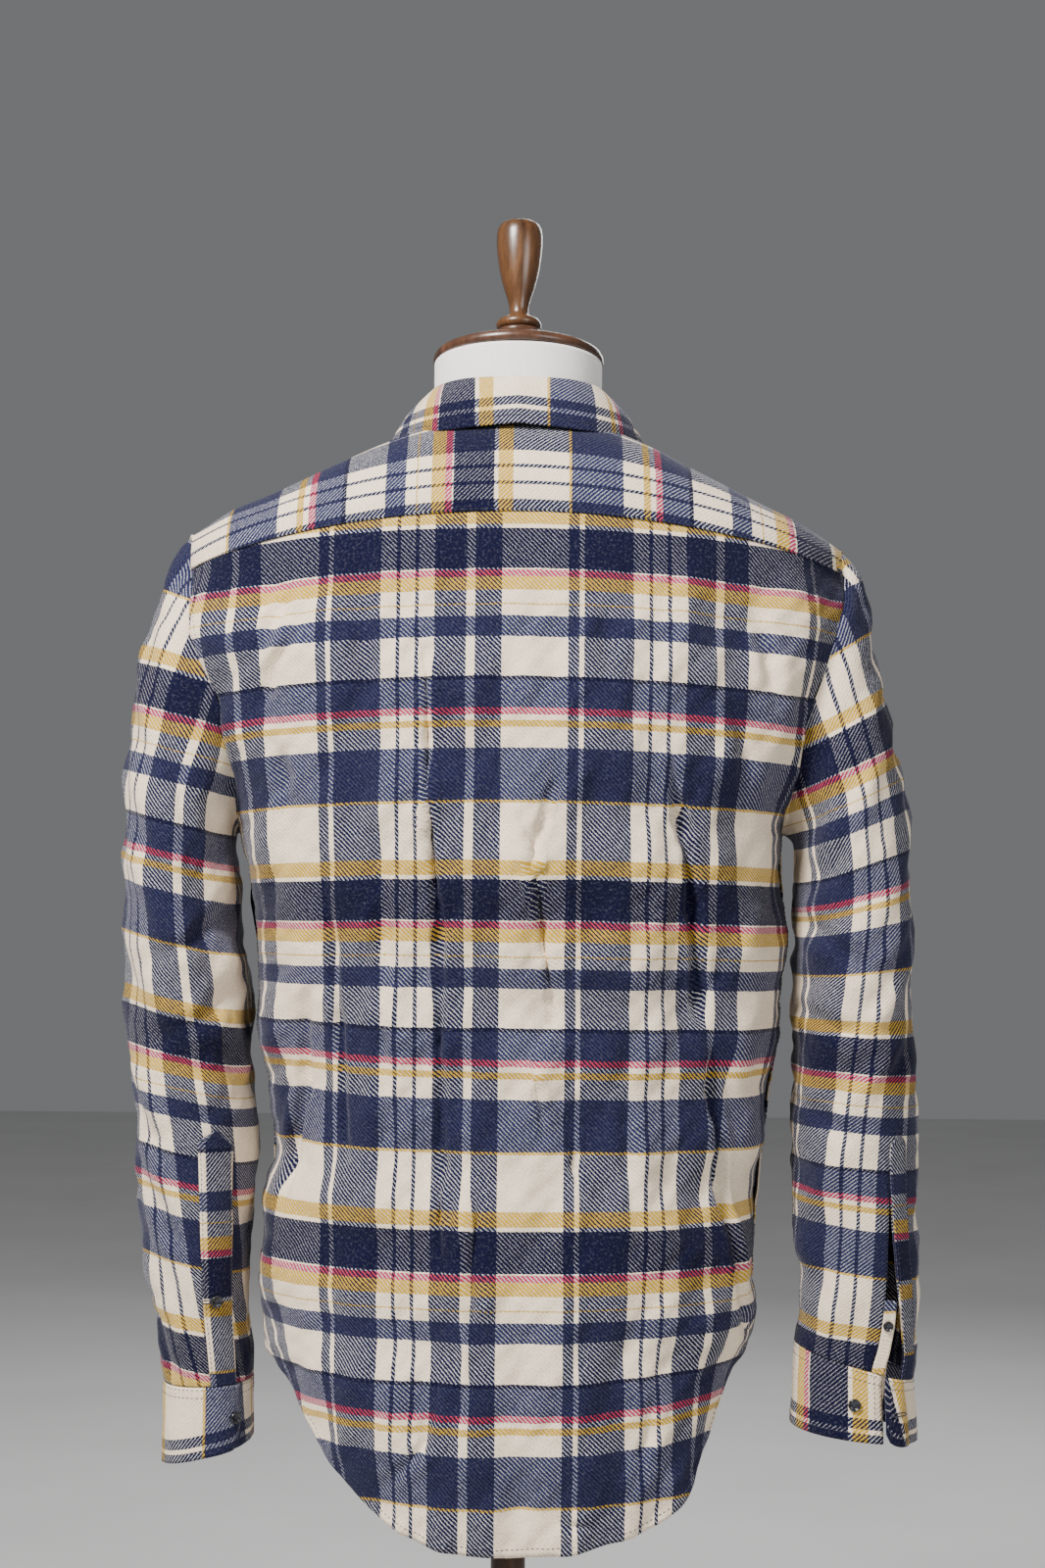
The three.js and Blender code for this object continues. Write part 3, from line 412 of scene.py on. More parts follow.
def profile_arc(x, place, samples=40):
    """Length of the shoulder's profile at x, from the back seam to a place."""
    line = shoulder(x[..., None], place[..., None] * np.linspace(0, 1, samples))
    return np.linalg.norm(np.diff(line, axis=-2), axis=-1).sum(axis=-1)


def armhole(right):
    """The armhole as a closed line, read by turn: 0 is the shoulder point, then back, underarm, front."""
    side = 1 if right else -1
    along = np.linspace(0, 1, 160)
    over_back = shoulder(side * armhole_x(mix(0.5, 0, along)), mix(0.5, 0, along))
    over_front = shoulder(side * armhole_x(mix(0.5, 1, along)), mix(0.5, 1, along))

    def down(face, top):
        z = mix(top, UNDERARM_Z, along[1:])
        return on_torso(face, right, section(face, right, z)[2], z)

    lines = [np.concatenate([over_back, down("back", back_seam_z(YOKE_HALF_WIDTH))]),
             np.concatenate([over_front, down("front", 1180.0)])]

    def at(turn):
        share = (turn / math.pi) % 2
        result = []
        for line, place in zip(lines, [share, 2 - share]):
            length = np.concatenate([[0], np.cumsum(np.linalg.norm(np.diff(line, axis=0), axis=1))])
            where = np.clip(place, 0, 1) * length[-1]
            result.append(np.stack([np.interp(where, length, line[:, n]) for n in range(3)], axis=-1))
        return np.where((share <= 1)[..., None], result[0], result[1])

    return at


SLIT_TOP = 8
SLEEVES = {
    "left": dict(side=-1, rows=SLEEVE_LEFT, seam=math.radians(113), slit=0),
    "right": dict(side=1, rows=SLEEVE_RIGHT, seam=math.radians(66), slit=math.radians(16)),
}


def sleeve_grid(sleeve, columns=124, rings=200):
    """Rings from the cuff end up to the armhole; columns run to the right as seen from outside."""
    hole = armhole(sleeve["side"] > 0)
    k = np.linspace(12, 0, rings)[:, None]
    share = np.linspace(0, 1, columns + 1)[None, :]
    share = share if sleeve["side"] < 0 else 1 - share
    slit = sleeve["slit"] * smooth_step(SLIT_TOP, 12, k)
    turn = sleeve["seam"] + slit + share * (2 * math.pi - 2 * slit)
    rows = sleeve["rows"]
    across, behind = np.cos(turn), np.sin(turn)
    inward = (1 - signed_power(across, 0.92)) / 2
    x = sleeve["side"] * mix(read(rows, "outX", k), read(rows, "inX", k), inward)
    z = mix(read(rows, "outZ", k), read(rows, "inZ", k), inward)
    y = read(rows, "y", k) - read(rows, "depth", k) * signed_power(behind, 0.92)
    oval = np.stack([x, y, z], axis=-1)
    blend = read(rows, "blend", k)[..., None]
    points = mix(hole(turn), oval, blend)
    points[..., 0] += sleeve["side"] * mix(-1.2, SLEEVE_GAP, smooth_step(0, 0.25, k))
    return points, k + 0 * turn, turn


CORNER_RADIUS = 9
CUFF_SEAM_GAP = 0.67
CORNER_START = 0.965         # share of a cuff's length where its rounded corner begins


def cuff_grid(sleeve, shape, steps=110, rings=20):
    rows = sleeve["rows"]
    up = np.linspace(0, 1, rings)[:, None]
    share = np.linspace(0, 1, steps + 1)[None, :]
    share = share if sleeve["side"] < 0 else 1 - share
    turn = np.radians(mix(shape["from_turn"], shape["to_turn"], share))
    out_x, in_x = read(rows, "outX", 12), read(rows, "inX", 12)
    lift = shape["lap"] * smooth_step(*shape["lap_turns"], np.degrees(turn)) + shape["flare"] * (1 - up)
    across, behind = signed_power(np.cos(turn), 0.92), signed_power(np.sin(turn), 0.92)
    inward = (1 - across) / 2
    top = mix(read(rows, "outZ", 12), read(rows, "inZ", 12), inward) - CUFF_SEAM_GAP
    bottom = top - mix(shape["out_height"], shape["in_height"], inward)
    corner = np.clip((share - CORNER_START) / (1 - CORNER_START), 0, 1)
    bottom = bottom + CORNER_RADIUS * (1 - np.sqrt(1 - corner ** 2))
    x = sleeve["side"] * ((out_x + in_x) / 2 + SLEEVE_GAP + ((out_x - in_x) / 2 + lift) * across)
    y = read(rows, "y", 12) - (read(rows, "depth", 12) + lift) * behind
    return np.stack([x, y, mix(bottom, top, up)], axis=-1), up + 0 * share, share + 0 * up


def collar_point(rows, turn, up, lift):
    side, size = np.where(turn < 0, -1, 1), np.minimum(180, np.abs(turn))
    past = np.radians(np.maximum(0, np.abs(turn) - 180))
    x = side * (mix(read(rows, "x", size), read(rows, "topX", size), up) - past * 60)
    y = mix(read(rows, "y", size), read(rows, "topY", size), up)
    z = mix(read(rows, "z", size), read(rows, "topZ", size), up)
    flat = np.stack([x, y, 0 * x], axis=-1)
    flat /= np.linalg.norm(flat, axis=-1, keepdims=True)
    return np.stack([x, y, z], axis=-1) + flat * np.asarray(lift)[..., None]


# Cloth surfaces
def normals_of(grid, closed=False):
    across = np.gradient(grid, axis=1)
    if closed:
        across[:, 0] = across[:, -1] = (grid[:, 1] - grid[:, -2]) / 2
    up = np.gradient(grid, axis=0)
    normal = np.cross(across, up)
    return normal / np.maximum(1e-9, np.linalg.norm(normal, axis=-1, keepdims=True))


def arc_across(grid):
    steps = np.linalg.norm(np.diff(grid, axis=1), axis=-1)
    return np.concatenate([np.zeros((grid.shape[0], 1)), np.cumsum(steps, axis=1)], axis=1)


def arc_up(grid):
    steps = np.linalg.norm(np.diff(grid, axis=0), axis=-1)
    return np.concatenate([np.zeros((1, grid.shape[1])), np.cumsum(steps, axis=0)], axis=0)


def mesh_object(name, points, faces, uvs=None, smooth=True):
    mesh = bpy.data.meshes.new(name)
    mesh.from_pydata([tuple(p) for p in np.asarray(points) * MM], [], [tuple(f) for f in faces])
    if uvs is not None:
        layer = mesh.uv_layers.new(name="cloth")
        loops = np.zeros(len(mesh.loops), np.int32)
        mesh.loops.foreach_get("vertex_index", loops)
        layer.data.foreach_set("uv", (np.asarray(uvs)[loops] * MM).astype(np.float32).ravel())
    mesh.polygons.foreach_set("use_smooth", [smooth] * len(mesh.polygons))
    mesh.update()
    thing = bpy.data.objects.new(name, mesh)
    bpy.context.scene.collection.objects.link(thing)
    return thing


def shell(name, grid, u, v, thickness=CLOTH, closed_rows=None):
    """A thin wall of cloth with its outer face on the grid. u and v are its place in the plaid."""
    rows, columns = grid.shape[:2]
    closed = closed_rows is not None
    inner = grid - normals_of(grid, closed) * thickness
    number = np.arange(rows * columns).reshape(rows, columns)
    faces = []
    for side, ids in enumerate([number, number + rows * columns]):
        quads = np.stack([ids[:-1, :-1], ids[:-1, 1:], ids[1:, 1:], ids[1:, :-1]], axis=-1).reshape(-1, 4)
        faces.append(quads if side == 0 else quads[:, ::-1])
    loop = np.concatenate([number[0], number[1:, -1], number[-1, -2::-1], number[-2:0:-1, 0]])
    after = np.roll(loop, -1)
    faces.append(np.stack([after, loop, loop + rows * columns, after + rows * columns], axis=-1))
    points = np.concatenate([grid.reshape(-1, 3), inner.reshape(-1, 3)])
    uv = np.stack([u.reshape(-1), v.reshape(-1)], axis=-1)
    thing = mesh_object(name, points, np.concatenate(faces), np.concatenate([uv, uv]))
    if closed:
        weld_seam(thing, number, closed_rows, rows * columns)
    return thing


def weld_seam(thing, number, closed_rows, offset):
    """Join the first and last column where a sleeve has no slit, and drop the rim inside the seam."""
    mesh = bmesh.new()
    mesh.from_mesh(thing.data)
    mesh.verts.ensure_lookup_table()
    rims = []
    pairs = {}
    for i in np.nonzero(closed_rows)[0]:
        for layer in (0, offset):
            first, last = mesh.verts[number[i, 0] + layer], mesh.verts[number[i, -1] + layer]
            pairs[last] = first
    joined = set(pairs) | set(pairs.values())
    ends = np.concatenate([number[:, 0], number[:, -1]])
    columns = {mesh.verts[n + layer] for n in ends for layer in (0, offset)}
    for face in mesh.faces:
        if all(v in joined for v in face.verts) and all(v in columns for v in face.verts):
            rims.append(face)
    bmesh.ops.delete(mesh, geom=rims, context="FACES_ONLY")
    bmesh.ops.weld_verts(mesh, targetmap=pairs)
    mesh.to_mesh(thing.data)
    mesh.free()


def ripple(a, b, seed, size, count=7, stretch=1.0):
    """A smooth uneven field of about -1 to 1, its waves of about this size and stretched along b."""
    rng = np.random.default_rng(seed)
    total = np.zeros(np.broadcast(a, b).shape)
    for _ in range(count):
        heading = rng.uniform(0, math.pi)
        length = size * rng.uniform(0.7, 1.5)
        amount = rng.uniform(0.5, 1.4)
        long_wave = size * rng.uniform(1.5, 2.6)
        bend = amount * np.sin((a * 0.6 + b / stretch) / long_wave + rng.uniform(0, 6))
        phase = (a * math.cos(heading) + b / stretch * math.sin(heading)) / length * 2 * math.pi
        total += np.sin(phase + bend + rng.uniform(0, 2 * math.pi))
    return total / math.sqrt(count)


def crease(a, b, path, width, depth, shoulder_share=0.35):
    """Depth field of a crease along (a, b, strength) points: a trough with raised shoulders."""
    best = np.full(np.broadcast(a, b).shape, np.inf)
    strength = np.zeros(best.shape)
    for (a1, b1, s1), (a2, b2, s2) in zip(path[:-1], path[1:]):
        da, db = a2 - a1, b2 - b1
        place = np.clip(((a - a1) * da + (b - b1) * db) / (da * da + db * db), 0, 1)
        distance = np.hypot(a - a1 - place * da, b - b1 - place * db)
        near = distance < best
        best = np.where(near, distance, best)
        strength = np.where(near, mix(s1, s2, place), strength)
    trough = np.exp(-(best / width) ** 2)
    raised = np.exp(-((best - 2 * width) / (1.1 * width)) ** 2)
    return depth * strength * (raised * shoulder_share - trough)


# Plaid: bands of warp from left to right, and of weft downwards, with widths in millimetres
DEEP_NAVY = (0.0030, 0.0030, 0.0190)
NAVY = (0.0042, 0.0050, 0.0260)
SLATE = (0.0190, 0.0200, 0.0540)
CREAM = (0.8400, 0.7000, 0.5300)
GOLD = (0.6000, 0.3400, 0.0220)
RED = (0.4800, 0.0300, 0.0650)
WARP = [
    (NAVY, 7.3), (CREAM, 3.5), (NAVY, 35), (CREAM, 11), (NAVY, 2.6), (CREAM, 10.3), (NAVY, 2.6),
    (CREAM, 11), (NAVY, 22.8), (CREAM, 6), (NAVY, 19), (CREAM, 46.6),
]
WEFT = [
    (GOLD, 10.5), (CREAM, 2.5), (DEEP_NAVY, 28.5), (CREAM, 0.8), (RED, 4.9), (CREAM, 0.7), (GOLD, 9),
    (CREAM, 9.5), (GOLD, 1.8), (CREAM, 7.3), (SLATE, 14.1), (CREAM, 27.9), (DEEP_NAVY, 2.7), (SLATE, 19.5),
    (RED, 4.9), (CREAM, 3.5), (GOLD, 5.4), (CREAM, 14), (SLATE, 36.7), (GOLD, 1.8), (CREAM, 40),
]
# How far the weft hides the warp in the twill, by the weft's colour: from -1 to 2. Dark wefts get more cover than the
# weave has, which is painted shade between the threads.
COVER_AND_THREAD_SHADE = {DEEP_NAVY: 1.3, SLATE: 1.12, CREAM: 0.05, GOLD: 1.0, RED: 0.7}
WARP_REPEAT = sum(width for _, width in WARP)
WEFT_REPEAT = sum(width for _, width in WEFT)
TWILL = 2.3                  # distance between the diagonal lines of the weave


class Nodes:
    """A short way to add and join shader nodes."""

    def __init__(self, name):
        self.material = bpy.data.materials.new(name)
        self.material.use_nodes = True
        self.tree = self.material.node_tree
        self.tree.nodes.clear()
        self.output = self.tree.nodes.new("ShaderNodeOutputMaterial")

    def add(self, kind, inputs=None, **settings):
        node = self.tree.nodes.new("ShaderNode" + kind)
        for name, value in settings.items():
            setattr(node, name, value)
        for name, value in (inputs or {}).items():
            self.put(node.inputs[name], value)
        return node

    def put(self, socket, value):
        if isinstance(value, bpy.types.NodeSocket):
            self.tree.links.new(value, socket)
        else:
            socket.default_value = value

    def math(self, operation, a, b=0.0, c=0.0):
        node = self.tree.nodes.new("ShaderNodeMath")
        node.operation = operation
        for socket, value in zip(node.inputs, (a, b, c)):
            self.put(socket, value)
        return node.outputs[0]

    def noise(self, vector, scale, detail=2.0, roughness=0.5):
        inputs = {"Vector": vector, "Scale": scale, "Detail": detail, "Roughness": roughness}
        return self.add("TexNoise", inputs).outputs["Fac"]

    def gray(self, color):
        return self.add("RGBToBW", {"Color": color}).outputs[0]

    def blend(self, kind, share, a, b):
        node = self.add("Mix", data_type="RGBA", blend_type=kind)
        self.put(node.inputs[0], share)
        self.put(node.inputs[6], a)
        self.put(node.inputs[7], b)
        return node.outputs[2]

    def ramp(self, position, stops, interpolation="LINEAR"):
        node = self.add("ValToRGB", {"Fac": position})
        band = node.color_ramp
        band.interpolation = interpolation
        while len(band.elements) > 1:
            band.elements.remove(band.elements[-1])
        for i, (place, color) in enumerate(stops):
            element = band.elements[0] if i == 0 else band.elements.new(place)
            element.position = place
            element.color = (*color, 1)
        return node.outputs["Color"]

    def bump(self, height, strength, distance, normal=None):
        inputs = {"Height": height, "Strength": strength, "Distance": distance}
        if normal is not None:
            inputs["Normal"] = normal
        return self.add("Bump", inputs).outputs["Normal"]

    def surface(self, **inputs):
        named = {name.replace("_", " "): value for name, value in inputs.items()}
        shader = self.add("BsdfPrincipled", named)
        self.tree.links.new(shader.outputs[0], self.output.inputs["Surface"])
        return self.material


def stops_of(bands):
    total = sum(width for _, width in bands)
    place, stops = 0.0, []
    for color, width in bands:
        stops.append((place / total, color))
        place += width
    return stops


def plaid(name, slope=1):
    """Brushed 2/2 twill in a plaid. The cloth's UV map is its place in the cloth, in metres."""
    n = Nodes(name)
    cloth = n.add("UVMap", uv_map="cloth").outputs["UV"]
    fuzz = n.add("TexNoise", {"Vector": cloth, "Scale": 900.0, "Detail": 1.0})
    centred = n.add("VectorMath", {0: fuzz.outputs["Color"], 1: (0.5, 0.5, 0.5)}, operation="SUBTRACT")
    jitter = centred.outputs[0]
    jitter = n.add("VectorMath", {0: jitter, "Scale": 0.0011}, operation="SCALE").outputs[0]
    rough_place = n.add("VectorMath", {0: cloth, 1: jitter}, operation="ADD").outputs[0]
    axes = n.add("SeparateXYZ", {0: rough_place})
    across, up = axes.outputs["X"], axes.outputs["Y"]
    warp_place = n.math("FRACT", n.math("MULTIPLY", across, 1 / (WARP_REPEAT * MM)))
    weft_place = n.math("FRACT", n.math("MULTIPLY", up, -1 / (WEFT_REPEAT * MM)))
    warp = n.ramp(warp_place, stops_of(WARP), "CONSTANT")
    weft = n.ramp(weft_place, stops_of(WEFT), "CONSTANT")

    turns = math.tau / (TWILL * MM * math.sqrt(2))
    diagonal = n.math("MULTIPLY_ADD", up, slope, across)
    wave = n.math("SINE", n.math("MULTIPLY", diagonal, turns))
    # The weft's cover is raised for dark wefts and over light warps, so the dark threads show more than their share:
    # painted shade between the threads.
    cover_and_shade_bands = [((COVER_AND_THREAD_SHADE[color] + 1) / 3,) * 3 for color, _ in WEFT]
    cover_and_shade_bands = [(shade, width) for shade, (_, width) in zip(cover_and_shade_bands, WEFT)]
    cover_and_shade = n.gray(n.ramp(weft_place, stops_of(cover_and_shade_bands), "CONSTANT"))
    cover_and_shade = n.math("MULTIPLY_ADD", cover_and_shade, 3.0, -1.0)
    cover_and_shade = n.math("ADD", cover_and_shade, n.math("MULTIPLY_ADD", n.gray(warp), 1.6, -0.56))
    fray = n.noise(cloth, 1400.0, 2.0, 0.7)
    mask = n.math("ADD", n.math("MULTIPLY_ADD", wave, 1.3, cover_and_shade), n.math("MULTIPLY_ADD", fray, 2.4, -1.2))
    mask.node.use_clamp = True
    color = n.blend("MIX", mask, warp, weft)
    # Painted shade: where a light thread lies beside a dark one, it is darkened and tinted blue, as though in the dark
    # thread's shade.
    contrast = n.math("ABSOLUTE", n.math("SUBTRACT", n.gray(warp), n.gray(weft)))
    painted_thread_shade = n.blend("MIX", contrast, (1, 1, 1, 1), (0.66, 0.84, 1.22, 1))
    color = n.blend("MULTIPLY", 1.0, color, painted_thread_shade)
    nap = n.noise(cloth, 620.0, 3.0, 0.65)
    patch = n.noise(cloth, 35.0, 3.0, 0.55)
    shade = n.math("MULTIPLY_ADD", nap, 0.85, 0.575)
    shade = n.math("MULTIPLY", shade, n.math("MULTIPLY_ADD", patch, 0.3, 0.85))
    tone = n.add("CombineColor", {0: shade, 1: shade, 2: shade}).outputs[0]
    color = n.blend("MULTIPLY", 1.0, color, tone)
    lint = n.ramp(n.noise(cloth, 480.0, 4.0, 0.75), [(0.0, (0, 0, 0)), (0.52, (0, 0, 0)), (0.72, (1, 1, 1))])
    color = n.blend("MIX", n.math("MULTIPLY", lint, 0.16), color, (0.34, 0.34, 0.38, 1))
    height = n.math("ADD", n.math("MULTIPLY", wave, 0.35), n.math("MULTIPLY", nap, 1.6))
    normal = n.bump(height, 0.6, 0.00045)
    normal = n.bump(n.noise(cloth, 60.0, 4.0, 0.6), 0.3, 0.003, normal)
    return n.surface(Base_Color=color, Roughness=0.95, Normal=normal, Sheen_Weight=0.12,
                     Sheen_Roughness=0.45, Sheen_Tint=(0.85, 0.86, 0.95, 1), Specular_IOR_Level=0.1)


def thread_finish(name, color):
    n = Nodes(name)
    place = n.add("TexCoord").outputs["Object"]
    fiber = n.noise(place, 2600.0, 3.0, 0.6)
    dark, light = (tuple(min(1, c * share) for c in color) for share in (0.7, 1.25))
    tone = n.ramp(fiber, [(0.3, dark), (0.7, light)])
    return n.surface(Base_Color=tone, Roughness=0.7, Sheen_Weight=0.2, Normal=n.bump(fiber, 0.5, 0.0002))


def wood_finish(name, dark, light, roughness, ring_scale, stretch):
    n = Nodes(name)
    place = n.add("TexCoord").outputs["Object"]
    long_place = n.add("Mapping", {"Vector": place, "Scale": stretch}).outputs[0]
    warped = n.add("TexNoise", {"Vector": long_place, "Scale": ring_scale, "Detail": 6.0, "Roughness": 0.62,
                                "Distortion": 1.2}).outputs["Fac"]
    fine = n.noise(long_place, ring_scale * 9, 4.0, 0.7)
    grain = n.math("ADD", n.math("MULTIPLY", warped, 0.72), n.math("MULTIPLY", fine, 0.28))
    middle = tuple(mix(low, high, 0.45) for low, high in zip(dark, light))
    color = n.ramp(grain, [(0.34, dark), (0.5, middle), (0.66, light)])
    wear = n.math("MULTIPLY_ADD", fine, 0.16, roughness)
    normal = n.bump(grain, 0.25, 0.0006)
    return n.surface(Base_Color=color, Roughness=wear, Normal=normal, Coat_Weight=0.22, Coat_Roughness=0.22,
                     Specular_IOR_Level=0.5)


def knit_finish(name):
    n = Nodes(name)
    place = n.add("UVMap", uv_map="cloth").outputs["UV"]
    axes = n.add("SeparateXYZ", {0: place})
    ribs = n.math("SINE", n.math("MULTIPLY", axes.outputs["X"], math.tau / 0.0014))
    courses = n.math("SINE", n.math("MULTIPLY", axes.outputs["Y"], math.tau / 0.0012))
    loops = n.math("ADD", ribs, n.math("MULTIPLY", courses, 0.6))
    nap = n.noise(place, 300.0, 4.0, 0.6)
    color = n.ramp(nap, [(0.3, (0.88, 0.865, 0.85)), (0.7, (0.95, 0.935, 0.92))])
    normal = n.bump(loops, 0.25, 0.00025)
    normal = n.bump(n.noise(place, 40.0, 3.0), 0.15, 0.002, normal)
    return n.surface(Base_Color=color, Roughness=0.9, Normal=normal, Sheen_Weight=0.2, Specular_IOR_Level=0.25)


def button_finish(name):
    n = Nodes(name)
    place = n.add("TexCoord").outputs["Object"]
    cloud = n.noise(place, 220.0, 4.0, 0.6)
    color = n.ramp(cloud, [(0.3, (0.006, 0.006, 0.008)), (0.75, (0.022, 0.022, 0.027))])
    rough = n.math("MULTIPLY_ADD", n.noise(place, 900.0, 3.0), 0.2, 0.16)
    return n.surface(Base_Color=color, Roughness=rough, Coat_Weight=0.3, Coat_Roughness=0.12,
                     Normal=n.bump(cloud, 0.1, 0.0002))


FLANNEL = plaid("flannel", 1)
FLANNEL_RIGHT = plaid("flannel_right", -1)
NAVY_THREAD = thread_finish("navy_thread", (0.012, 0.014, 0.035))
DARK_WOOD = wood_finish("dark_wood", (0.022, 0.010, 0.006), (0.115, 0.050, 0.026), 0.24, 9.0, (4, 4, 1))
HONEY_WOOD = wood_finish("honey_wood", (0.030, 0.012, 0.005), (0.150, 0.066, 0.024), 0.24, 11.0, (5, 5, 1))
KNIT = knit_finish("form_cover")
BLACK = button_finish("button_black")



def dress(thing, material, slot_name, *nodes):
    thing.data.materials.clear()
    thing.data.materials.append(material)
    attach(thing, "root")
    if nodes:
        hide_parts(*nodes)
    return thing


# Place in the plaid of each piece
BACK_DROOP = table(["z", "left", "right"], [
    [585, -13, -20],
    [678, -2, -2],
    [822, -8, 3],
    [920, 6, 6],
    [1070, 12, 12],
    [1167, 15, 15],
])
WARP_AT_BACK_CENTRE = 140.8


def back_plaid(grid):
    arc = arc_across(grid)
    centre = (grid.shape[1] - 1) // 2
    u = arc - arc[:, centre:centre + 1] + WARP_AT_BACK_CENTRE
    x, z = grid[..., 0], grid[..., 2]
    droop = np.where(x < 0, read(BACK_DROOP, "left", z), read(BACK_DROOP, "right", z))
    return u, z + droop * (x / 230) ** 2 - BACK_SEAM_Z


# Back panel with its creases
BACK_CREASES = [
    dict(path=[(-62, 1112, 0.5), (-60, 1010, 1), (-53, 930, 1), (-51, 860, 0.8), (-49, 720, 0.5), (-48, 640, 0)],
         width=2.8, depth=4.4),
    dict(path=[(14, 992, 0), (12, 962, 1), (19, 930, 1), (24, 893, 1), (31, 845, 0)], width=2.4, depth=4.4),
    dict(path=[(33, 1040, 0), (24, 1005, 0.7), (13, 968, 0.9)], width=2.6, depth=2.8),
    dict(path=[(2, 1012, 0), (8, 985, 0.7), (13, 966, 0.8)], width=2.6, depth=2.4),
    dict(path=[(108, 1050, 0), (115, 1005, 0.8), (122, 970, 1), (128, 925, 1.1), (132, 878, 1), (138, 846, 0)],
         width=3.4, depth=5.2),
    dict(path=[(-134, 952, 0), (-126, 890, 0.8), (-120, 820, 0.9), (-116, 752, 0.2)], width=3.2, depth=3.8),
    dict(path=[(-96, 985, 0), (-92, 900, 0.8), (-88, 800, 0.6), (-90, 730, 0)], width=4.5, depth=2.8),
    dict(path=[(40, 780, 0), (46, 750, 1), (52, 720, 0)], width=2.6, depth=3.6),
    dict(path=[(10, 836, 0), (20, 792, 1), (25, 764, 0)], width=2.6, depth=3.2),
    dict(path=[(78, 840, 0), (82, 760, 0.9), (88, 690, 0)], width=4.5, depth=2.8),
    dict(path=[(-20, 760, 0), (-26, 690, 0.9), (-24, 610, 0.2)], width=4.5, depth=2.6),
    dict(path=[(-160, 1165, 0), (-172, 1132, 1), (-190, 1100, 0)], width=4.5, depth=3.8),
    dict(path=[(-148, 1136, 0), (-166, 1108, 0.9), (-186, 1072, 0)], width=4, depth=3.2),
    dict(path=[(-176, 1060, 0), (-164, 1020, 0.9), (-160, 965, 0)], width=5, depth=3.2),
    dict(path=[(170, 1152, 0), (180, 1110, 1), (187, 1058, 0)], width=5, depth=3.6),
    dict(path=[(150, 1090, 0), (162, 1040, 0.9), (168, 985, 0)], width=5, depth=3.2),
    dict(path=[(60, 1170, 0), (64, 1110, 0.7), (70, 1060, 0)], width=5, depth=2.0),
    dict(path=[(-104, 1172, 0), (-108, 1120, 0.7), (-104, 1070, 0)], width=5, depth=2.0),
    dict(path=[(-90, 520, 0), (-58, 560, 1), (-52, 600, 0)], width=4, depth=3.0),
    dict(path=[(104, 600, 0), (98, 560, 0.9), (84, 520, 0)], width=4, depth=2.8),
    dict(path=[(32, 505, 0), (46, 503, 1), (66, 503, 0)], width=2.8, depth=2.6),
]
SIDE_TUCKS = [
    dict(path=[(-148, 870, 0.2), (-150, 800, 1), (-161, 746, 1), (-164, 716, 0)], width=3, depth=7),
    dict(path=[(142, 846, 0), (143, 800, 1), (153, 720, 1), (160, 676, 1), (166, 628, 0.3)], width=3, depth=7),
]
CREASE_STRENGTH = 1.4
# Creases of the fronts; x is measured from the middle outwards
FRONT_CREASES = {
    "front_left": [
        dict(path=[(150, 1128, 0), (128, 1060, 1), (96, 975, 0.8), (90, 940, 0)], width=4, depth=4.2),
        dict(path=[(170, 1060, 0), (150, 1010, 1), (140, 940, 0)], width=4.5, depth=3.6),
        dict(path=[(118, 900, 0), (112, 830, 1), (110, 740, 0.8), (114, 660, 0)], width=3.6, depth=4.2),
        dict(path=[(60, 780, 0), (64, 700, 0.9), (68, 600, 0)], width=4.5, depth=3.0),
        dict(path=[(40, 1010, 0), (52, 960, 0.8), (58, 900, 0)], width=4.5, depth=2.6),
        dict(path=[(166, 900, 0), (160, 820, 1), (166, 720, 0)], width=3.4, depth=5),
    ],
    "front_right": [
        dict(path=[(148, 1120, 0), (124, 1050, 1), (100, 968, 0.8), (96, 930, 0)], width=4, depth=4.2),
        dict(path=[(172, 1050, 0), (154, 1000, 1), (146, 925, 0)], width=4.5, depth=3.6),
        dict(path=[(126, 915, 0), (120, 840, 1), (124, 750, 0.8), (130, 650, 0)], width=3.6, depth=4.2),
        dict(path=[(70, 760, 0), (62, 690, 0.9), (58, 580, 0)], width=4.5, depth=3.0),
        dict(path=[(46, 1060, 0), (40, 1000, 0.8), (46, 930, 0)], width=4.5, depth=2.6),
        dict(path=[(172, 880, 0), (168, 800, 1), (172, 700, 0)], width=3.4, depth=5),
    ],
}


def shape_back():
    grid = back_grid()
    x, z = grid[..., 0], grid[..., 2]
    tucks = sum(crease(x, z, **one) for one in SIDE_TUCKS)
    grid = grid + normals_of(grid) * tucks[..., None]
    u, v = back_plaid(grid)
    creases = CREASE_STRENGTH * sum(crease(x, z, **one) for one in BACK_CREASES)
    grid = grid + normals_of(grid) * creases[..., None]
    soft = (2.8 * ripple(x, z, 3, 70, stretch=2.4) + 1.7 * ripple(x, z, 4, 32, stretch=1.7)
            + 0.5 * ripple(x, z, 5, 15, stretch=1.4))
    calm = smooth_step(BACK_SEAM_Z - 15, BACK_SEAM_Z - 80, z) * 0.9 + 0.1
    grid = grid + normals_of(grid) * (soft * calm)[..., None]
    return raise_edges(grid, left=7, right=7, bottom=6.5), u, v


def edge_distance(grid, edge):
    """Distance of each point from one edge of the panel, along its rows or columns."""
    if edge in ("left", "right"):
        arc = arc_across(grid)
        return arc if edge == "left" else arc[:, -1:] - arc
    arc = arc_up(grid)
    return arc if edge == "bottom" else arc[-1:] - arc


def raise_edges(grid, lift=0.7, **edges):
    """Raise the folded seam allowance or hem along the named edges, out to its stitch line."""
    field = np.zeros(grid.shape[:2])
    for edge, width in edges.items():
        distance = edge_distance(grid, edge)
        along = arc_across(grid) if edge in ("top", "bottom") else arc_up(grid)
        pucker = 0.25 * np.sin(along / 9 * math.tau + 1.3 * np.sin(along / 31))
        pucker = pucker * np.exp(-(distance - width) ** 2 / 40)
        allowance = lift * smooth_step(width + 1.6, width - 1.2, distance)
        line = -0.35 * np.exp(-((distance - width + 0.6) / 1.3) ** 2)
        field = np.where(distance < width + 12, np.maximum(field, 0), field)
        field = field + np.where(distance < width + 14, allowance + line + pucker, 0)
    return grid + normals_of(grid) * field[..., None]


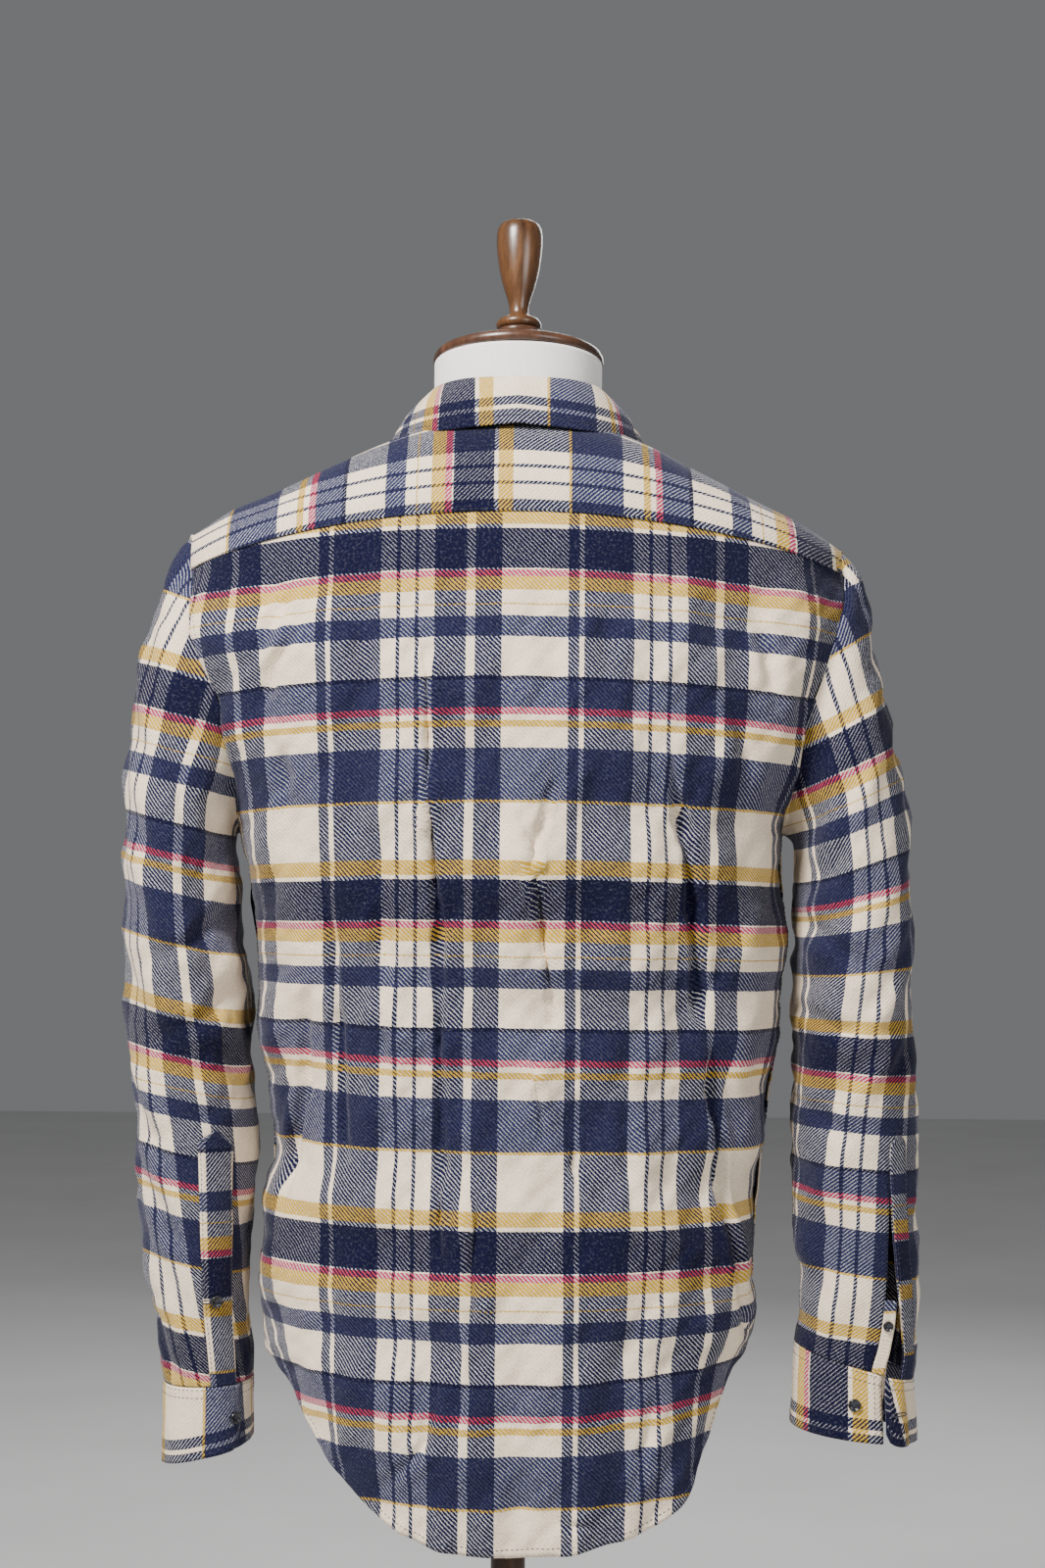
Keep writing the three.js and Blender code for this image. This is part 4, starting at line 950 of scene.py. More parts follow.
def line_at(grid, edge, distance, start=0.0, end=1.0):
    """Points and normals of the line this far in from an edge, between two shares of its length."""
    depth = edge_distance(grid, edge)
    normal = normals_of(grid)
    if edge in ("left", "right"):
        lines = zip(depth, grid, normal)
    else:
        lines = zip(depth.T, grid.transpose(1, 0, 2), normal.transpose(1, 0, 2))
    points, outward = [], []
    for where, row, row_normal in lines:
        order = np.argsort(where)
        if where[order[-1]] < distance:
            continue
        points.append([np.interp(distance, where[order], row[order, n]) for n in range(3)])
        outward.append([np.interp(distance, where[order], row_normal[order, n]) for n in range(3)])
    low, high = int(start * len(points)), max(2, int(end * len(points)))
    return np.array(points)[low:high], np.array(outward)[low:high]


STITCH_PITCH = 3.6
STITCH_LENGTH = 2.7
STITCH_RADIUS = 0.27


def stitches(name, lines, material, slot_name, pitch=STITCH_PITCH, radius=STITCH_RADIUS):
    """Rows of sewn stitches: each is a short spindle of thread lying on the cloth."""
    sides = 6
    turns = np.arange(sides) / sides * math.tau
    points, faces = [], []
    for line, outward in lines:
        length = np.concatenate([[0], np.cumsum(np.linalg.norm(np.diff(line, axis=0), axis=1))])
        middles = np.arange(pitch, length[-1] - pitch / 2, pitch)
        for middle in middles:
            ends = np.array([middle - STITCH_LENGTH / 2, middle + STITCH_LENGTH / 2])
            a, b = [np.array([np.interp(e, length, line[:, n]) for n in range(3)]) for e in ends]
            up = np.array([np.interp(middle, length, outward[:, n]) for n in range(3)])
            up /= np.linalg.norm(up)
            axis = (b - a) / np.linalg.norm(b - a)
            across = np.cross(axis, up)
            first = len(points)
            points.append(a - up * radius * 0.6)
            for share, size in ((0.22, 0.85), (0.5, 1.0), (0.78, 0.85)):
                centre = mix(a, b, share) + up * radius * 0.5
                for turn in turns:
                    spoke = across * math.cos(turn) + up * math.sin(turn)
                    points.append(centre + radius * size * spoke)
            points.append(b - up * radius * 0.6)
            last = len(points) - 1
            for j in range(sides):
                following = (j + 1) % sides
                faces.append((first, first + 1 + j, first + 1 + following))
                for ring in (0, sides):
                    faces.append((first + 1 + ring + j, first + 1 + ring + sides + j,
                                  first + 1 + ring + sides + following, first + 1 + ring + following))
                faces.append((last, first + 1 + 2 * sides + following, first + 1 + 2 * sides + j))
    return dress(mesh_object(name, points, faces), material, slot_name)


def build_back():
    grid, u, v = shape_back()
    thing = dress(shell("back_cloth", grid, u, v), FLANNEL, "flannel", "back")
    return grid


def build_front(name, right):
    grid = front_grid(right)
    x, z = grid[..., 0], grid[..., 2]
    arc = arc_across(grid)
    u = arc - arc[:, -1:] if right else arc
    u = u + 40
    v = z + 10 * (x / 200) ** 2 - BACK_SEAM_Z
    seed = 11 if right else 12
    soft = (1.7 * ripple(x, z, seed, 75, stretch=2.2) + 1.0 * ripple(x, z, seed + 5, 34, stretch=1.6)
            + 0.35 * ripple(x, z, seed + 9, 15, stretch=1.4))
    soft += sum(crease(np.abs(x), z, **one) for one in FRONT_CREASES[name])
    grid = grid + normals_of(grid) * (soft * smooth_step(12, 40, np.abs(x)))[..., None]
    grid = raise_edges(grid, bottom=6.5, **{"right" if right else "left": 7})
    thing = dress(shell(name + "_cloth", grid, u, v), FLANNEL, "flannel", name)
    return grid


YOKE_NECK_RISE = 7           # how much the yoke climbs behind the neck


def build_yoke():
    grid, share, rise = yoke_grid()
    normal = normals_of(grid)
    grid = grid + normal * (0.5 + 0.6 * smooth_step(0.06, 0, share))[..., None]
    grid[..., 2] += YOKE_NECK_RISE * smooth_step(0.3, 0.95, share) * smooth_step(0, -55, grid[..., 1])
    x = grid[..., 0]
    u = 91.3 - rise - 9 * (x / 237) ** 2
    v = x + 2.5
    thing = dress(shell("yoke_cloth", grid, u, v), FLANNEL, "flannel_cross", "yoke")
    return grid


SLEEVE_TILT = {
    "left": table(["z", "tilt"], [[575, 0.2], [1065, 0.26], [1204, 0.43]]),
    "right": table(["z", "tilt"], [[575, -0.15], [830, -0.05], [950, 0.33], [1052, 0.5], [1197, 0.6]]),
}
SLEEVE_WEFT = {
    "left": table(["z", "v"], [[550, -588], [643, -492], [874, -246], [1122, 0], [1215, 91]]),
    "right": table(["z", "v"], [[540, -587], [627, -492], [852, -246], [1097, 0], [1200, 103]]),
}
# Warp on the outer line of each sleeve
SLEEVE_WARP = {
    "left": table(["z", "u"], [[575, 11], [800, 9.5], [1204, 8]]),
    "right": table(["z", "u"], [[575, 156], [800, 154], [1000, 147], [1197, 145.3]]),
}


def oval_arc(angle, wide, deep, samples=48):
    """Length of an oval's line from its outermost point to each angle."""
    parts = (np.arange(samples) + 0.5) / samples
    at = angle[..., None] * parts
    rate = np.sqrt((wide[..., None] * np.sin(at)) ** 2 + (deep[..., None] * np.cos(at)) ** 2)
    return rate.mean(axis=-1) * angle


def sleeve_plaid(name, grid):
    """Plaid of a sleeve: stripes run down it, by a level slice's arc from the outer line round the back."""
    side = SLEEVES[name]["side"]
    x, y, z = side * grid[..., 0], grid[..., 1], grid[..., 2]
    levels = np.arange(566, 1215, 8.0)
    slices = [np.abs(z - level) < 9 for level in levels]
    out_x = np.interp(z, levels, [x[near].max() if near.any() else 239 for near in slices])
    in_x = np.interp(z, levels, [x[near].min() if near.any() else 237 for near in slices])
    deep = np.interp(z, levels, [np.ptp(y[near]) / 2 if near.any() else 30 for near in slices])
    middles = [(y[near].max() + y[near].min()) / 2 if near.any() else 0 for near in slices]
    middle_y = np.interp(z, levels, middles)
    middle_x = mix((out_x + in_x) / 2, in_x, smooth_step(1000, 1110, z))
    wide = np.maximum(4, out_x - middle_x)
    angle = np.arctan2((middle_y - y) / deep, (x - middle_x) / wide)
    arc = oval_arc(angle, wide, deep)
    u = read(SLEEVE_WARP[name], "u", z) - side * arc
    v = read(SLEEVE_WEFT[name], "v", z + read(SLEEVE_TILT[name], "tilt", z) * (out_x - x))
    return u, v


def build_sleeve(name):
    sleeve = SLEEVES[name]
    grid, k, turn = sleeve_grid(sleeve)
    u, v = sleeve_plaid(name, grid)
    seed = 21 if sleeve["side"] < 0 else 31
    closed = (k[:, 0] <= SLIT_TOP)
    spin = np.stack([np.cos(turn) * 60, np.sin(turn) * 60], axis=-1)
    run = -grid[..., 2]
    field = (2.4 * ripple(spin[..., 0] + run * 0.5, run, seed, 80, stretch=1.0)
             + 1.5 * ripple(spin[..., 1] - run * 0.4, run + spin[..., 0], seed + 3, 45)
             + 0.4 * ripple(spin[..., 0] + spin[..., 1], run, seed + 6, 16))
    for face, one in SLEEVE_CREASES[name]:
        field += crease(spin[..., 0], grid[..., 2], **one) * smooth_step(-0.2, 0.3, side_share(turn, face))
    share = np.linspace(0, 1, grid.shape[1])[None, :]
    beside_slit = smooth_step(0.15, 0.06, np.minimum(share, 1 - share)) * smooth_step(6.8, 7.8, k)
    field *= smooth_step(0, 1.2, k) * smooth_step(12.3, 11, k) * (1 - 0.85 * beside_slit)
    grid = grid + normals_of(grid, True) * field[..., None]
    material = FLANNEL if name == "left" else FLANNEL_RIGHT
    cloth = shell("sleeve_" + name + "_cloth", grid, u, v, closed_rows=closed)
    thing = dress(cloth, material, "flannel", "sleeve_" + name)
    return grid


def side_share(turn, face):
    """1 in the middle of the sleeve's named face, -1 in the middle of the opposite one."""
    return np.sin(turn) * (1 if face == "back" else -1)


# Creases of the sleeves: 60 at the outer line and -60 at the inner one, then height and strength
SLEEVE_CREASES = {
    "left": [
        ("back", dict(path=[(-58, 930, 0.4), (-20, 905, 1), (30, 890, 0.3)], width=6, depth=3.4)),
        ("back", dict(path=[(-58, 880, 0.6), (-25, 850, 1), (35, 832, 0.2)], width=6, depth=3.6)),
        ("back", dict(path=[(-58, 800, 0.5), (-10, 775, 1), (40, 760, 0.2)], width=6, depth=3.0)),
        ("back", dict(path=[(-50, 720, 0.3), (0, 690, 1), (45, 700, 0.2)], width=6, depth=2.6)),
        ("back", dict(path=[(20, 1080, 0), (-5, 1010, 1), (-30, 950, 0.2)], width=8, depth=3.2)),
        ("front", dict(path=[(-58, 900, 0.6), (-10, 870, 1), (35, 850, 0.2)], width=7, depth=3.6)),
        ("front", dict(path=[(-58, 820, 0.5), (-5, 800, 1), (40, 790, 0.2)], width=7, depth=3.2)),
        ("front", dict(path=[(10, 1060, 0), (-15, 990, 1), (-35, 930, 0.2)], width=8, depth=3.0)),
    ],
    "right": [
        ("back", dict(path=[(-58, 925, 0.5), (-15, 900, 1), (30, 880, 0.3)], width=6, depth=3.4)),
        ("back", dict(path=[(-58, 860, 0.6), (-20, 845, 1), (40, 850, 0.2)], width=6, depth=3.6)),
        ("back", dict(path=[(-55, 790, 0.4), (-15, 770, 1), (30, 775, 0.2)], width=6, depth=3.0)),
        ("back", dict(path=[(25, 1085, 0), (0, 1020, 1), (-30, 955, 0.2)], width=8, depth=3.2)),
        ("front", dict(path=[(-58, 905, 0.6), (-10, 880, 1), (35, 862, 0.2)], width=7, depth=3.6)),
        ("front", dict(path=[(-58, 830, 0.5), (-5, 805, 1), (40, 795, 0.2)], width=7, depth=3.2)),
        ("front", dict(path=[(15, 1070, 0), (-10, 1000, 1), (-35, 935, 0.2)], width=8, depth=3.0)),
    ],
}


CUFFS = {
    "left": dict(from_turn=122, to_turn=498, lap=2.3, lap_turns=(445, 475), flare=0.5,
                 out_height=CUFF_HEIGHT, in_height=CUFF_HEIGHT - CUFF_SLANT),
    "right": dict(from_turn=72, to_turn=434, lap=9, lap_turns=(396, 422), flare=3,
                  out_height=CUFF_HEIGHT - CUFF_SLANT, in_height=CUFF_HEIGHT),
}
# A place across each cuff, its place in the weft, and the weft's scale round the cuff
WEFT_ON_CUFF = {"left": (-219, -205, 1.0), "right": (258, 0, 0.92)}


def build_cuff(name):
    sleeve = SLEEVES[name]
    grid, up, share = cuff_grid(sleeve, CUFFS[name])
    arc = arc_across(grid)
    place_x, place_v, scale = WEFT_ON_CUFF[name]
    middle_half = (grid[..., 1] < -8) & (np.abs(share - 0.1) < 0.12)
    if name == "left":
        middle_half = grid[..., 1] < -8
    at = np.where(middle_half, np.abs(grid[..., 0] - place_x), 999).argmin(axis=1)
    v = (arc - arc[np.arange(len(arc)), at][:, None]) * scale + place_v
    u = 17 - arc_up(grid)
    wave = 0.3 * ripple(arc, grid[..., 2], 61 if name == "left" else 62, 26)
    grid = grid + normals_of(grid) * wave[..., None]
    cloth = shell("cuff_" + name + "_cloth", grid, u, v, thickness=1.5)
    thing = dress(cloth, FLANNEL, "flannel_cross", "cuff_" + name)
    return grid


def build_collar():
    turn, up = np.meshgrid(np.linspace(-190, 178, 170), np.linspace(0, 1, 14))
    stand = collar_point(COLLAR_STAND, turn, up, 2.6 * smooth_step(-158, -168, turn))
    u, v = up * 37 + 10, arc_across(stand)
    thing = dress(shell("collar_stand_cloth", stand, u, v), FLANNEL, "flannel_cross", "collar_stand")
    turn, up = np.meshgrid(np.linspace(-172, 172, 190), np.linspace(0, 1, 26))
    leaf = collar_point(COLLAR_LEAF, turn, up, 3 * np.sin(up * math.pi))
    droop = mix(2.5, 5, smooth_step(10, 70, np.abs(turn))) * smooth_step(125, 95, np.abs(turn))
    leaf[..., 2] -= droop * smooth_step(0.7, 0, up)
    arc = arc_across(leaf)
    v = arc - arc[:, 95:96] + 19
    rise = arc_up(leaf)
    cloth = shell("collar_leaf_cloth", leaf, 22.5 - rise, v)
    thing = dress(cloth, FLANNEL, "flannel_cross", "collar_leaf")
    return stand, leaf


def surface_at(grid, row, column, lift):
    """A point of a grid at shares (0 to 1) of its rows and columns, moved out along the normal."""
    rows, columns = grid.shape[0] - 1, grid.shape[1] - 1
    row, column = np.broadcast_arrays(np.asarray(row, float) * rows, np.asarray(column, float) * columns)
    column = np.where(column < 0, column + columns, column)
    i = np.clip(np.floor(row).astype(int), 0, rows - 1)
    j = np.clip(np.floor(column).astype(int), 0, columns - 1)
    a, b = (row - i)[..., None], (column - j)[..., None]
    normal = normals_of(grid)
    result = []
    for source in (grid, normal):
        low = mix(source[i, j], source[i, j + 1], b)
        high = mix(source[i + 1, j], source[i + 1, j + 1], b)
        result.append(mix(low, high, a))
    outward = result[1] / np.linalg.norm(result[1], axis=-1, keepdims=True)
    return result[0] + outward * np.asarray(lift)[..., None], outward


def row_of_k(k):
    return (12 - k) / 12


POINT_LENGTH = 0.045         # share of a sleeve placket's length that narrows to its point


def sleeve_strip(grid, low_k, high_k, left, right, lift, pointed, steps=14, rings=90):
    """A strip sewn on a sleeve along its length, with a house-shaped or square top."""
    up = np.linspace(0, 1, rings)[:, None]
    across = np.linspace(0, 1, steps)[None, :]
    narrow = np.clip((1 - up) / POINT_LENGTH, 0.02, 1) if pointed else 1 + 0 * up
    middle = (left + right) / 2
    column = mix(middle, mix(left, right, across), narrow)
    edge = np.minimum(across, 1 - across) * (right - left) * 320
    height = lift + 0.5 * smooth_step(0, 1.2, edge)
    points, _ = surface_at(grid, mix(row_of_k(low_k), row_of_k(high_k), up) + 0 * across, column, height)
    return points, up + 0 * across, across + 0 * up


def build_plackets():
    """Plackets of both sleeves, in straight grain with the weft running the other way up."""
    lines = []
    found = {}
    points, up, across = sleeve_strip(sleeves["left"], 12, 7.72, -0.036, 0.058, 1.3, True)
    v = 636 - points[..., 2]
    u = 78.3 + across * 30
    cloth = shell("sleeve_placket_left_cloth", points, u, v)
    dress(cloth, FLANNEL, "flannel", "sleeve_placket_left")
    found["left"] = points
    lines += [line_at(points, "left", 1.8), line_at(points, "right", 1.8)]
    points, up, across = sleeve_strip(sleeves["right"], 12, 7.72, 0.0011, 0.0565, 1.3, True)
    v = 652 - points[..., 2]
    u = 84 + across * 20
    cloth = shell("sleeve_placket_right_cloth", points, u, v)
    dress(cloth, FLANNEL_RIGHT, "flannel", "sleeve_placket_right")
    lines += [line_at(points, "left", 1.8), line_at(points, "right", 1.8)]
    stitches("placket_stitches", lines, NAVY_THREAD, "flannel")
    found["underlap"] = build_underlap()
    return found


def build_underlap():
    """The narrow bound edge inside the open slit of the right sleeve, with fine cross puckers."""
    grid = sleeves["right"]
    count, steps = 60, 8
    rows = np.linspace(0.0, row_of_k(10.0), count)
    edge, outward = surface_at(grid, rows, np.full(count, 0.99999), np.zeros(count))
    before, _ = surface_at(grid, rows, np.full(count, 0.985), np.zeros(count))
    along = edge - before
    along /= np.linalg.norm(along, axis=-1, keepdims=True)
    share = np.linspace(0, 1, steps)
    rib = 0.35 * np.sin(np.arange(count) / 3.4 * math.tau)
    points = edge[:, None] + along[:, None] * (0.2 + 9 * share)[None, :, None]
    height = rib[:, None] * np.sin(share * math.pi)[None, :] + 0.2
    points = points + outward[:, None] * height[..., None]
    v = points[..., 2] - 603
    u = 140 + 9 * share[None, :] + 0 * v
    cloth = shell("sleeve_underlap_right_cloth", points, u, v, thickness=1.3)
    dress(cloth, FLANNEL, "flannel", "sleeve_underlap_right")
    return points


def build_button_band():
    """The band over the closed edges of both fronts."""
    rows = 230
    z = np.linspace(FRONT_HEM_Z + 0.5, 1199, rows)
    steps = 15
    x = np.linspace(-OVERLAP - 1, OVERLAP + 1, steps)
    face = []
    for height in z:
        angle = angle_at_x("front", x, height)
        face.append(on_torso("front", x > 0, angle, height))
    points = np.array(face)[:, ::-1]
    points[..., 1] += 2.2 + 0.5 * smooth_step(0, 2, 18 - np.abs(points[..., 0]))
    points[..., 1] += 0.35 * ripple(points[..., 0], points[..., 2], 41, 60, stretch=2)
    u = -points[..., 0] + 64.5
    v = points[..., 2] - BACK_SEAM_Z
    cloth = shell("front_placket_cloth", points, u, v, thickness=1.4)
    thing = dress(cloth, FLANNEL, "flannel", "front_placket")
    lines = [line_at(points, edge, 5.5) for edge in ("left", "right")]
    stitches("band_stitches", lines, NAVY_THREAD, "flannel")
    return points


def frame_of(place, outward, up_hint=(0, 0, 1)):
    """A matrix at a place in millimetres, its Z axis outward and its Y axis near up_hint."""
    z = Vector(outward).normalized()
    x = Vector(up_hint).cross(z).normalized()
    y = z.cross(x)
    turn = Matrix((x, y, z)).transposed().to_4x4()
    return Matrix.Translation(Vector(place) * MM) @ turn


def lathe(outline, segments):
    """Points and faces of an outline of (radius, height) points turned about Z."""
    turns = np.arange(segments) / segments * math.tau
    points = [(r * math.cos(t), r * math.sin(t), h) for r, h in outline for t in turns]
    faces = []
    for i in range(len(outline) - 1):
        for j in range(segments):
            following = (j + 1) % segments
            faces.append((i * segments + j, i * segments + following,
                          (i + 1) * segments + following, (i + 1) * segments + j))
    for i, order in ((0, -1), (len(outline) - 1, 1)):
        points.append((0, 0, outline[i][1]))
        hub = len(points) - 1
        for j in range(segments):
            pair = (i * segments + j, i * segments + (j + 1) % segments)
            faces.append((hub, *pair) if order > 0 else (hub, pair[1], pair[0]))
    return points, faces


def tube(path, radius, sides=8, closed=False):
    """Points and faces of a round thread along a path."""
    path = np.array(path, float)
    ahead = np.roll(path, -1, axis=0) - np.roll(path, 1, axis=0)
    if not closed:
        ahead[0], ahead[-1] = path[1] - path[0], path[-1] - path[-2]
    ahead /= np.linalg.norm(ahead, axis=1, keepdims=True)
    points, faces = [], []
    side = np.array([0, 0, 1.0])
    for place, axis in zip(path, ahead):
        across = np.cross(axis, side)
        if np.linalg.norm(across) < 0.2:
            across = np.cross(axis, (0, 1.0, 0))
        across /= np.linalg.norm(across)
        other = np.cross(axis, across)
        for j in range(sides):
            turn = j / sides * math.tau
            points.append(place + radius * (across * math.cos(turn) + other * math.sin(turn)))
    count = len(path)
    for i in range(count if closed else count - 1):
        for j in range(sides):
            following = (j + 1) % sides
            a, b = i * sides, (i + 1) % count * sides
            faces.append((a + j, a + following, b + following, b + j))
    if not closed:
        faces.append(tuple(range(sides - 1, -1, -1)))
        faces.append(tuple((count - 1) * sides + j for j in range(sides)))
    return points, faces


def placed(name, parts, matrix):
    """One object from several (points, faces) parts, all placed by the same matrix."""
    points, faces = [], []
    for part_points, part_faces in parts:
        offset = len(points)
        points += [tuple(matrix.to_3x3() @ Vector(p) + matrix.translation / MM) for p in part_points]
        faces += [tuple(i + offset for i in face) for face in part_faces]
    return mesh_object(name, points, faces)


def node_seat(node, hint):
    """Middle and outward axis of a small disc-shaped node of the part."""
    thing = bpy.data.objects[node]
    points = np.array([thing.matrix_world @ v.co for v in thing.data.vertices]) / MM
    middle = (points.max(axis=0) + points.min(axis=0)) / 2
    spread = points - points.mean(axis=0)
    axis = np.linalg.svd(spread, full_matrices=False)[2][2]
    if np.dot(axis, hint) < 0:
        axis = -axis
    heights = (points - middle) @ axis
    return middle + axis * heights.min(), axis


def seat_on_cloth(foot, axis, radius, cloth):
    """Move a button's foot along its axis until it lies on the cloth under it."""
    offset = cloth.reshape(-1, 3) - foot
    height = offset @ axis
    aside = np.linalg.norm(offset - height[:, None] * axis, axis=1)
    under = (aside < radius) & (np.abs(height) < 9)
    return foot + axis * ((height[under].max() if under.any() else 0) + 0.25)


def build_button(node, radius, hint, cloth):
    """A four-hole button with a raised rim, and the crossed thread that holds it."""
    foot, axis = node_seat(node, hint)
    foot = seat_on_cloth(foot, axis, radius, cloth)
    matrix = frame_of(foot, axis)
    outline = [(radius * 0.8, 0.1), (radius * 0.97, 0.5), (radius, 1.1), (radius * 0.98, 1.8), (radius * 0.93, 2.35),
               (radius * 0.86, 2.6), (radius * 0.78, 2.55), (radius * 0.7, 2.1), (radius * 0.6, 1.75),
               (radius * 0.4, 1.6), (radius * 0.1, 1.55)]
    dress(placed(node + "_disc", [lathe(outline, 40)], matrix), BLACK, "button", node)
    reach = radius * 0.22
    holes = [lathe([(0.75, 1.35), (0.75, 1.7), (0.6, 1.72), (0.55, 1.5)], 14) for _ in range(4)]
    corners = [(reach, reach), (-reach, reach), (-reach, -reach), (reach, -reach)]
    holes = [([(x + cx, y + cy, z) for x, y, z in points], faces)
             for (points, faces), (cx, cy) in zip(holes, corners)]
    dress(placed(node + "_holes", holes, matrix), BLACK, "button")
    strands = []
    for shift in (-0.22, 0.22):
        for start, end in (((-reach, reach), (reach, -reach)), ((-reach, -reach), (reach, reach))):
            along = np.linspace(0, 1, 9)
            path = [(mix(start[0], end[0], a) + shift, mix(start[1], end[1], a) - shift * (1 if end[1] > 0 else -1),
                     1.3 + 0.95 * math.sin(a * math.pi) ** 0.5) for a in along]
            strands.append(tube(path, 0.24, 6))
    dress(placed(node + "_thread", strands, matrix), NAVY_THREAD, "button")
    return foot, axis


def build_buttonhole(name, place, outward, up_hint, length=13):
    """A stitched buttonhole: a ring of close stitches."""
    matrix = frame_of(place, outward, up_hint)
    count = 64
    path = []
    for i in range(count):
        share = i / count
        turn = share * math.tau
        x = signed_power(math.cos(turn), 0.35) * length / 2
        y = signed_power(math.sin(turn), 0.8) * 1.15
        path.append((float(x), float(y), 0.3 + 0.08 * math.sin(i * 2.4)))
    dress(placed(name, [tube(path, 0.42, 7, closed=True)], matrix), NAVY_THREAD, "flannel")


def sleeve_hint(place, side):
    middle = 226 if side < 0 else 252
    return np.array([place[0] - side * middle, place[1] + 8, 0])


def build_buttons():
    for n in range(1, 7):
        foot, axis = build_button(f"front_button_{n}", 5.5, (0, 1, 0), band)
        place = foot + axis * 0.1 + np.array((0, 0, 1.5))
        build_buttonhole(f"front_buttonhole_{n}", place, axis, (1, 0, 0))
    build_button("collar_button", 4.6, (0, 1, 0), stand)
    cloths = {"sleeve_button_left": plackets["left"], "sleeve_button_right": plackets["underlap"],
              "cuff_button_left": cuffs["left"], "cuff_button_right": cuffs["right"][:, 20:]}
    for node, cloth in cloths.items():
        thing = bpy.data.objects[node]
        place = np.array([thing.matrix_world @ v.co for v in thing.data.vertices]).mean(axis=0) / MM
        hint = sleeve_hint(place, -1 if "left" in node else 1)
        foot, axis = build_button(node, 3.8 if node == "sleeve_button_right" else 4.6, hint, cloth)
        if node == "sleeve_button_left":
            side = np.cross(axis, (0, 0, 1.0))
            place = foot - side * 4 * np.sign(side[0]) + axis * 0.1
            build_buttonhole(node + "_hole", place, axis, (0, 0, 1), 14)
    end, outward = surface_at(cuffs["right"], 0.48, 0.03, 0.2)
    build_buttonhole("cuff_buttonhole_right", end, outward, (0, 0, 1), 13)


# Dress form, cap, finial and stand
NECK_TOP_Z = 1334
NECK_TILT = math.radians(8)
SEAM_GAP = 0.35


def build_form():
    sides = 128
    stretches = ((606, 640, 14), (643, 1265, 120), (1268, 1334, 34))
    heights = np.concatenate([np.linspace(low, high, count) for low, high, count in stretches])
    turn = np.arange(sides + 1) / sides * math.tau
    z = heights[:, None]
    along = np.sin(turn)[None, :]
    across = np.cos(turn)[None, :]
    depth = np.where(along < 0, read(FORM, "back", z), read(FORM, "front", z))
    x = read(FORM, "side", z) * signed_power(across, 0.95)
    y = depth * signed_power(along, 0.95)
    slant = math.tan(NECK_TILT) * y * smooth_step(1290, NECK_TOP_Z, z)
    grid = np.stack([x, y, z - slant], axis=-1)
    u, v = arc_across(grid), arc_up(grid)
    rows, columns = grid.shape[:2]
    number = np.arange(rows * columns).reshape(rows, columns)
    corners = [number[:-1, :-1], number[:-1, 1:], number[1:, 1:], number[1:, :-1]]
    quads = np.stack(corners, axis=-1).reshape(-1, 4)
    faces = [tuple(q) for q in quads]
    points = list(grid.reshape(-1, 3))
    uv = list(np.stack([u.reshape(-1), v.reshape(-1)], axis=-1))
    for i, down in ((0, True), (rows - 1, False)):
        points.append(grid[i, :-1].mean(axis=0))
        uv.append((0, v[i, 0]))
        hub = len(points) - 1
        for j in range(columns - 1):
            pair = (number[i, j + 1], number[i, j]) if down else (number[i, j], number[i, j + 1])
            faces.append((hub, *pair))
    thing = mesh_object("form_torso_cover", points, faces, np.array(uv))
    dress(thing, KNIT, "form_cover", "form_torso")


def build_turnings():
    top = Matrix.Translation((0, 0.002, (NECK_TOP_Z + SEAM_GAP) * MM)) @ Matrix.Rotation(-NECK_TILT, 4, "X")
    cap = [(40, 0), (60, 0), (62.2, 0.5), (63.3, 1.8), (63.5, 3.5), (63.3, 5.4), (62.3, 7.2), (60.6, 8.0), (58.5, 8.1),
           (57.4, 8.9), (55, 9.8), (50, 10.9), (42, 13), (34, 15.8), (27, 18.2), (22.5, 20), (20.4, 21.3),
           (19.2, 22.6), (16.9, 24.3), (16.4, 26.2), (16.5, 27.6), (15, 28)]
    dress(placed("neck_cap_turned", [lathe(cap, 120)], top), DARK_WOOD, "dark_wood", "neck_cap")
    finial = [(10, 28.3), (14, 28.5), (16.2, 29.8), (16.9, 31.8), (16.7, 33.8), (15.2, 35.8), (12.6, 37.2), (9.6, 38.2),
              (7.8, 39.6), (7.1, 42), (7.1, 45), (7.7, 49), (9, 54), (11, 60), (13.2, 68), (15.1, 77), (16.5, 87),
              (17.2, 96), (17.2, 103), (16.6, 107.4), (15.2, 110.4), (13, 112), (9, 112.9), (3, 113)]
    dress(placed("finial_turned", [lathe(finial, 72)], top), HONEY_WOOD, "honey_wood", "finial")
    pole_top = 606 - SEAM_GAP
    pole = [(12, 24 + SEAM_GAP), (12.75, 25.2), (12.75, pole_top - 1), (12, pole_top)]
    dress(placed("pole_turned", [lathe(pole, 64)], Matrix.Identity(4)), DARK_WOOD, "dark_wood", "pole")
    base = [(150, 0), (186, 0), (188.6, 0.8), (190, 3), (190, 13), (189, 16), (186, 18.6), (182, 20),
            (176, 20.6), (173, 21.6), (168, 22), (110, 23.2), (60, 23.8), (40, 24)]
    dress(placed("base_turned", [lathe(base, 160)], Matrix.Identity(4)), DARK_WOOD, "dark_wood", "base")


back = build_back()
front_left = build_front("front_left", False)
front_right = build_front("front_right", True)
yoke = build_yoke()
sleeves = {name: build_sleeve(name) for name in SLEEVES}
cuffs = {name: build_cuff(name) for name in SLEEVES}
stand, leaf = build_collar()

